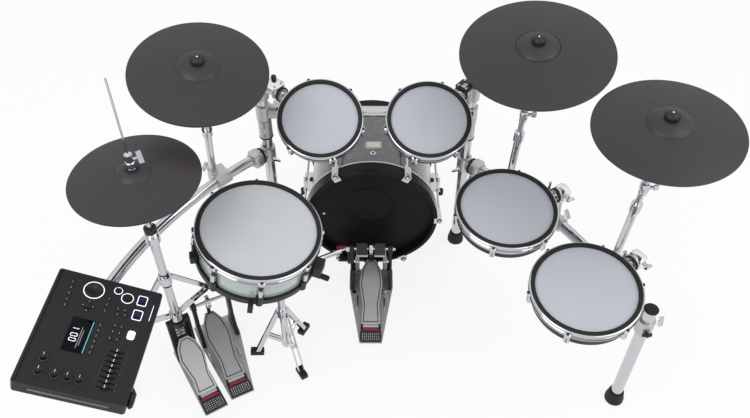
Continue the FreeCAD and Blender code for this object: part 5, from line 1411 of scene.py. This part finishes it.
@dataclass
class Pedal:
    """A foot pedal, measured from its heel hinge: x across, y towards the toe."""

    name: str
    board: Body
    joint: str
    run: float = 249
    rise: float = 76
    heel: float = 58
    half: float = 43
    heel_corner: Pair = (27.6, 9)
    shares: Outline = ((0.79, 0.05), (0.70, 0.30), (1.0, 0.65), (0.80, 0.86), (0.35, 1.0))
    towers: tuple[float, ...] = ()
    shaft: Pair = (221, 171)
    plate: Finish = PALE_PLATE
    plate_top: float = 7
    stud_pitch: float = 7.4
    stud_size: Triple = (3, 3, 0.8)
    stud_rows: int = 5
    stud_columns: int = 9
    pad_width: float = 76
    pad_shift: float = -7
    stripe_size: Triple = (66, 10, 1)
    rail_size: Triple = (5, 66, 2.4)
    rail_spot: Triple = (50, 117, -17.4)

    def __post_init__(self) -> None:
        """Finds the frames of the hinge and the board."""
        hinge = joint_frame(self.joint)
        self.hinge = Frame(hinge.spot, -hinge.y, hinge.x, UP)
        if self.hinge.x.cross(self.hinge.y).z < 0:
            self.hinge = Frame(hinge.spot, -hinge.y, -hinge.x, UP)
        self.slope = math.degrees(math.atan2(self.rise, self.run))
        self.length = math.hypot(self.rise, self.run)
        self.face = self.hinge.turned(self.hinge.x, self.slope).moved(0.0, 0.0, 3)

    def outline(self) -> Outline:
        """Gives the footboard's outline."""
        right = [self.heel_corner] + [(wide * self.half, share * self.length) for wide, share in self.shares]
        return right + [(-x, y) for x, y in reversed(right)]

    def top(self) -> None:
        """Adds the line round the footboard."""
        shape = Shape(f"{self.name}_board_trim")
        shape.line(self.face.moved(0.0, 0.0, -0.3), self.outline(), 5.5, 3, 0.9, BLACK)
        shape.ride(self.board, Slot.BOARD)

    def rear(self) -> None:
        """Adds the heel's stripe, its studded pad and the bolts of the base."""
        shape = Shape(f"{self.name}_heel_trim")
        top = self.hinge.moved(0.0, -self.heel / 2 - 6, -4)
        length = self.heel - 24
        pad = rectangle(self.pad_width, length + 8, 3)
        shape.plate(top.moved(0.0, self.pad_shift, -0.3), pad, 1.5, BLACK, bevel=0.4)
        shape.plate(self.hinge.moved(0.0, -13.5, -4.3), rectangle(*self.stripe_size), 2, RED, bevel=0.4)
        for row in range(-(self.stud_rows // 2), self.stud_rows // 2 + 1):
            along = self.pad_shift + row * length / self.stud_rows
            for column in range(-(self.stud_columns // 2), self.stud_columns // 2 + 1):
                stud = top.moved(column * self.stud_pitch, along, 1.1)
                shape.block(stud, self.stud_size, WHITE_PRINT_AND_HIGHLIGHT, bevel=0.3)
        for x in self.towers:
            side = math.copysign(1.0, x)
            shape.bolt(facing(self.hinge.at(x, self.shaft[0] - 30, 2), -self.hinge.y), 6, 5, CHROME)
            shape.bolt(facing(self.hinge.at(x + side * 9, *self.shaft), self.hinge.x * side), 8, 4, CHROME)
            rail = self.hinge.moved(side * self.rail_spot[0], *self.rail_spot[1:])
            shape.block(rail, self.rail_size, CHROME, bevel=0.8)
        shape.ride(Body.KIT, Slot.PEDAL)

    def build(self) -> None:
        """Dresses the pedal and adds its small pieces."""
        dress(f"{self.name}_footboard", replace(SILVER, name=f"{self.name}_silver"),
              (lambda point: self.hinge.inside(point).y > self.run - 6, DARK_METAL))
        self.top()
        self.rear()


@dataclass
class KickPedals:
    """The pair of kick pedals, their beaters and the shaft between them."""

    kick: Pedal
    slave: Pedal
    lean: float = 42.0
    reach: float = 205
    beater_half: float = 22.5
    rocker: float = 50
    rocker_half: float = 4.6
    rod_side: float = 30
    collar_size: Triple = (20, 18, 14)
    bar_size: Triple = (42, 8, 8)
    wing_size: Triple = (26, 5, 9)
    lever_size: Triple = (56, 14, 18)
    wing_spot: Pair = (8, 148)
    cap_spot: Pair = (-108, 154)
    lever: Triple = (-149.0, 283.0, 112.0)
    lever_drop: float = 90

    def way(self) -> Vector:
        """Gives the direction of the beaters' rods at rest."""
        lean = math.radians(self.lean)
        return UP * math.cos(lean) - self.kick.hinge.y * math.sin(lean)

    def axis(self, side: float) -> Vector:
        """Gives a point on the beaters' axle."""
        return self.kick.hinge.at(side, *self.kick.shaft)

    def rod_share(self, point: Vector) -> float:
        """Gives how far along the beaters' rods a point is."""
        return (point - self.axis(0.0)).dot(self.way()) / MM

    def on_rocker(self, point: Vector) -> bool:
        """Tells whether a point is on one of the rockers that pull the springs."""
        own = self.kick.hinge.inside(point)
        return abs(abs(own.x) - self.rocker) < self.rocker_half and own.y < self.kick.shaft[0] - 13.5

    def beater_trim(self, name: str, body: Body, side: float) -> None:
        """Adds the rod's collar and the rocker's bar of one beater.

        Args:
            name: The piece's name.
            body: The beater's body.
            side: 1 for the right one, -1 for the left.
        """
        shape = Shape(name)
        rod = facing(self.axis(side * self.rod_side), self.way())
        shape.block(rod.moved(0.0, 0.0, 18), self.collar_size, STEEL, bevel=3)
        bar = self.kick.hinge.moved(side * 32, self.kick.shaft[0] - 34, self.kick.shaft[1])
        shape.block(bar, self.bar_size, CREAM, bevel=2)
        shape.ride(body, Slot.BEATER)

    def base_trim(self) -> None:
        """Adds the wing bolt of the hoop's clamp and the cap beside it on the kick pedal's base."""
        shape = Shape("kick_base_trim")
        seat = self.kick.plate_top - 1
        bolt = WORLD.moved(*self.wing_spot, seat)
        shape.rod(bolt, 7, 0.0, 12, CHROME)
        shape.block(bolt.moved(0.0, 0.0, 14), self.wing_size, CHROME, bevel=2)
        shape.rod(WORLD.moved(*self.cap_spot, seat), 8, 0.0, 3, RUBBER)
        lever = WORLD.moved(*self.lever)
        shape.block(lever, self.lever_size, RED, bevel=5)
        shape.block(lever.moved(18, 0.0, -self.lever_drop / 2), (11, 10, self.lever_drop), BLACK, bevel=2)
        shape.ride(Body.KIT, Slot.PEDAL)

    def build(self) -> None:
        """Dresses both pedals."""
        for pedal in (self.kick, self.slave):
            dress(f"{pedal.name}_pedal_base", BLACK, (below(pedal.plate_top), pedal.plate))
            pedal.build()
        for node in ("kick_beater", "slave_beater"):
            dress(node, CHROME, (lambda point: self.rod_share(point) > self.reach - self.beater_half, BLACK),
                  (self.on_rocker, CREAM))
        self.beater_trim("kick_beater_trim", Body.KICK_BEATER, 1.0)
        self.beater_trim("slave_beater_trim", Body.SLAVE_BEATER, -1.0)
        self.base_trim()
        dress("drive_shaft", CHROME)
        for node in ("kick_spring", "slave_spring"):
            dress(node, STEEL)


@dataclass
class HihatPedal:
    """The hi-hat's pedal."""

    pedal: Pedal
    back_spot: Triple = (0, 200, 80)
    back_size: Triple = (66, 5, 130)
    square_size: Triple = (11, 1.4, 10)
    square_side: float = 9
    square_first: float = 20
    square_pitch: float = 16

    def build(self) -> None:
        """Dresses the pedal and its base."""
        dress("hihat_base", DARK_METAL, (below(self.pedal.plate_top), self.pedal.plate))
        self.pedal.build()
        self.back()

    def back(self) -> None:
        """Adds the black plate behind the toe, with its pale squares."""
        shape = Shape("hihat_back_plate")
        plate = self.pedal.hinge.moved(*self.back_spot)
        shape.block(plate, self.back_size, BLACK, bevel=1.5)
        for row in range(3):
            height = self.square_first + self.square_pitch * row
            for side in (-1, 1):
                square = plate.moved(side * self.square_side, -2.4, height)
                shape.block(square, self.square_size, PALE_MARK_AND_HIGHLIGHT, bevel=0.4)
        shape.ride(Body.KIT, Slot.PEDAL)


@dataclass
class Module:
    """The sound module, measured on its panel: x towards the player, y away."""

    spot: Triple = (-738.7, -532.1, 700.0)
    turn: float = -3.6
    roll: float = 19.0
    pitch: float = 1.5
    depth: float = 270
    width: float = 335
    dial: Pair = (-34.6, 126.0)
    round_buttons: Outline = ((24, 142.4), (52.1, 126.3))
    square_buttons: Outline = ((90.2, 129.3), (89.9, 84.1))
    white_button: Pair = (91.5, 22.4)
    arrows: Pair = (-34.3, 75.7)
    arrow_steps: Outline = ((-12, 0), (12, 0), (0, -14), (0, 14))
    button_half: float = 8
    knobs: Outline = ((-85.6, -91.1), (-84.8, -129), (-47, -129), (-17.6, -129), (11.1, -129))
    screen: Triple = (-29.7, -11.7, 0.4)
    screen_size: Triple = (56, 98, 2)
    digit_pitch: float = 14
    dial_ring: Pair = (24.2, 26.4)
    ring_radii: Pair = (11.2, 16.0)
    lit_size: Triple = (19, 26, 4)
    side_light: Pair = (122, 100)
    key_rows: tuple[tuple[Pair, Pair, int], ...] = (((11.5, 29.6), (0.0, 16.2), 6),
                                                    ((-91.2, 135.4), (-0.8, 18.2), 5),
                                                    ((9.0, 112.0), (0.0, 19.3), 3))
    lone_keys: Outline = ((46.0, 39.0), (62.0, 39.4), (45.0, 20.0), (62.0, 20.3), (44.0, 0.4), (61.6, 1.2),
                          (39.0, 88.6), (56.0, 89.5), (41.0, 72.7), (60.0, 74.0))
    key_size: Triple = (9, 11, 2.6)
    key_mark: Triple = (1.4, 6, 0.3)
    arrow_size: Triple = (10, 10, 2.2)
    tick_size: Triple = (1.4, 6, 0.5)
    tick_side: float = 24
    jacks: int = 9
    jack_first: float = -100
    jack_pitch: float = 25
    slot_size: Triple = (190, 1.2, 9)
    grip_side: float = -136
    side_middle: float = -23
    dial_rim: Outline = ((0, 3), (15, 3), (17, 4.2), (20.5, 4.2), (22, 3), (22, 0.4), (0, 0.4))
    faders: int = 8
    fader_row: float = 72.4
    fader_first: float = -32.8
    fader_pitch: float = 14.4

    def __post_init__(self) -> None:
        """Sets the panel's frame."""
        turn = Matrix.Identity(3)
        for degrees, axis in ((self.turn, "Z"), (self.roll, "Y"), (self.pitch, "X")):
            turn = turn @ Matrix.Rotation(math.radians(degrees), 3, axis)
        self.frame = Frame(WORLD.at(*self.spot), turn @ RIGHT, turn @ AWAY, turn @ UP)

    def arrow_keys(self, height: float) -> list[Frame]:
        """Gives the frames of the four arrow keys at a height above the panel."""
        return [self.frame.moved(self.arrows[0] + x, self.arrows[1] + y, height) for x, y in self.arrow_steps]

    def fader(self, step: int, side: float = 0.0, height: float = 0.0) -> Frame:
        """Gives a frame at a fader.

        Args:
            step: The fader's number, from 0.
            side: How far beside the fader's middle.
            height: How far above the panel.

        Returns:
            The frame.
        """
        return self.frame.moved(self.fader_row + side, self.fader_first - self.fader_pitch * step, height)

    def lights(self) -> None:
        """Adds the lit rings, frames, lines and the white key."""
        shape = Shape("module_lights")
        shape.ring(self.frame.moved(*self.dial), *self.dial_ring, -0.3, 0.8, WHITE_LIGHT, steps=64)
        for spot, radius in zip(self.round_buttons, self.ring_radii):
            shape.ring(self.frame.moved(*spot), radius - 1.8, radius, -0.3, 0.7, WHITE_LIGHT, steps=48)
        lit = self.frame.moved(*self.white_button, -0.3)
        shape.plate(lit, rectangle(*self.lit_size), 1.4, WHITE_LIGHT, bevel=0.4)
        for spot in self.square_buttons:
            shape.line(self.frame.moved(*spot, -0.3), rectangle(25, 31, 3), 0.0, 2, 1, WHITE_LIGHT)
            shape.line(self.frame.moved(*spot, -0.3), rectangle(20.6, 26.6, 2), 0.0, 3.4, 0.8, BLUE_PAD)
        shape.block(self.frame.moved(*self.side_light), (1.5, 49, 1.2), WHITE_LIGHT, bevel=0.3)
        for key in self.arrow_keys(1.6):
            shape.bolt(key, 1.6, 0.9, DIM_LIGHT)
        shape.ride(Body.KIT, Slot.SCREEN)

    def keys(self) -> None:
        """Adds the small keys, the faders' ticks and the jacks."""
        shape = Shape("module_keys")
        rows = [(first[0] - pitch[0] * step, first[1] - pitch[1] * step)
                for first, pitch, count in self.key_rows for step in range(count)]
        for x, y in (*rows, *self.lone_keys):
            shape.block(self.frame.moved(x, y, 0.8), self.key_size, CONTROL, bevel=0.8)
            shape.block(self.frame.moved(x, y, 2.1), self.key_mark, DIM_LIGHT, bevel=0.1)
        for key in self.arrow_keys(0.6):
            shape.block(key, self.arrow_size, CONTROL, bevel=0.8)
        for step in range(self.faders):
            for side in (-self.tick_side, self.tick_side):
                shape.block(self.fader(step, side), self.tick_size, FAINT, bevel=0.1)
        for x, y in self.knobs:
            shape.ring(self.frame.moved(x, y), 8.6, 10.6, -0.3, 0.4, FAINT, steps=40)
            shape.block(self.frame.moved(x, y + 4, 14), (1.4, 7, 0.6), WHITE_PRINT_AND_HIGHLIGHT, bevel=0.15)
        for step in range(self.jacks):
            along = self.jack_first + self.jack_pitch * step
            seat = self.frame.at(along, self.width / 2 - 0.4, self.side_middle)
            jack = facing(seat, self.frame.y)
            shape.ring(jack, 3.2, 7.5, 0.0, 2.6, DARK_METAL, steps=28)
        slot = self.frame.moved(0.0, -self.width / 2, self.side_middle)
        shape.block(slot, self.slot_size, GLOSS_BLACK, bevel=0.4)
        grip = facing(self.frame.at(self.depth / 2 - 1, self.grip_side, self.side_middle - 1), self.frame.x)
        shape.rod(grip, 21, 0.0, 15, BLACK)
        shape.ring(grip, 19, 22, 4, 11, RUBBER, steps=28)
        for x, high in ((-self.depth / 2 + 5, 5), (self.depth / 2 - 5, 3)):
            rib = self.frame.moved(x, 0.0, high / 2 - 1)
            shape.block(rib, (7, self.width - 8, high), MODULE_BLACK, bevel=1)
        shape.ride(Body.KIT, Slot.CONTROL)

    def display(self) -> None:
        """Adds what the screen shows: a number, a bar and plain marks."""
        shape = Shape("module_display")
        screen = self.frame.moved(*self.screen)
        shape.plate(screen.moved(0.0, 0.0, -0.9), rectangle(*self.screen_size), 1, GLASS_AND_BELL_SHADE, bevel=0.2)
        shape.block(screen.moved(24.5, 0.0), (2.2, 93, 0.5), TEAL_LIGHT, bevel=0.1)
        lit = {"0": "abcdef", "1": "bc"}
        flat = {"a": (-8, 0), "d": (8, 0)}
        upright = {"b": (-4, 4), "c": (4, 4), "e": (4, -4), "f": (-4, -4)}
        for place, digit in enumerate("001"):
            for bar in lit[digit]:
                x, y = {**flat, **upright}[bar]
                size = (7, 1.6, 0.4) if bar in upright else (1.6, 7, 0.4)
                spot = screen.moved(x - 10, y + self.digit_pitch * place - 15)
                shape.block(spot, size, WHITE_LIGHT, bevel=0.1)
        for x, width in ((4, 60), (9, 44)):
            shape.block(screen.moved(x, -6), (1.8, width, 0.4), DIM_LIGHT, bevel=0.1)
        shape.ride(Body.KIT, Slot.SCREEN)

    def low_dial(self) -> None:
        """Adds the flat dial with its finger dimple, in place of the plain one."""
        shape = Shape("module_dial_low")
        dial = self.frame.moved(*self.dial)
        shape.turning(dial, self.dial_rim, CONTROL, steps=64)
        shape.ring(dial.moved(0.0, 9), 2.6, 4.2, 2.8, 3.6, FAINT, steps=24)
        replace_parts(shape.ride(Body.DIAL, Slot.CONTROL), "module_dial")

    def fader_lines(self) -> None:
        """Adds the pale line on each fader's cap."""
        shape = Shape("module_fader_lines")
        for step in range(self.faders):
            shape.block(self.fader(step, height=9.7), (1.8, 8, 0.5), WHITE_PRINT_AND_HIGHLIGHT, bevel=0.1)
        shape.ride(Body.FADERS, Slot.CONTROL)

    def on_square(self, point: Vector) -> bool:
        """Tells whether a point is on one of the two square pads' buttons."""
        return any(self.on_button(point, spot) for spot in self.square_buttons)

    def on_white(self, point: Vector) -> bool:
        """Tells whether a point is on the lit button."""
        return self.on_button(point, self.white_button)

    def on_button(self, point: Vector, spot: Pair) -> bool:
        """Tells whether a point is on the button at a place of the panel."""
        own = self.frame.inside(point)
        return abs(own.x - spot[0]) < self.button_half and abs(own.y - spot[1]) < self.button_half

    def build(self) -> None:
        """Dresses the module and adds its small pieces."""
        dress("module_case", MODULE_BLACK)
        dress("module_mount", BLACK)
        dress("module_screen", MODULE_BLACK)
        for node in ("module_dial", "module_knobs", "module_faders"):
            dress(node, CONTROL)
        dress("module_buttons", CONTROL, (self.on_square, BLUE_PAD), (self.on_white, WHITE_LIGHT))
        self.lights()
        self.keys()
        self.display()
        self.low_dial()
        self.fader_lines()


def main() -> None:
    """Builds the scene."""
    logging.basicConfig(level=logging.INFO)
    KIT.update(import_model())
    tower = 70
    kick = Pedal("kick", Body.KICK_BOARD, "kick_press", towers=(-tower, tower), plate=PLATE)
    slave = Pedal("slave", Body.SLAVE_BOARD, "slave_press", towers=(-52, tower))
    hihat = Pedal("hihat", Body.HIHAT_BOARD, "hihat_press", run=174, rise=108, heel=62)
    parts = [Studio(), Rack(), Tom("left_tom", 133, plate=CAST, cover=BRIGHT_CAST),
             Tom("right_tom", 133, cover=BLACK, cover_spot=(20, 14)), Tom("floor_tom_1", 158.5, pin=True),
             Tom("floor_tom_2", 158.5, pin=True), Snare("snare", 184, lugs=8, head=SNARE_HEAD), Cymbals(),
             Kick(), KickPedals(kick, slave), HihatPedal(hihat), Module()]
    for part in parts:
        part.build()
        LOG.info("%s is dressed", type(part).__name__)


if __name__ == "__main__":
    main()
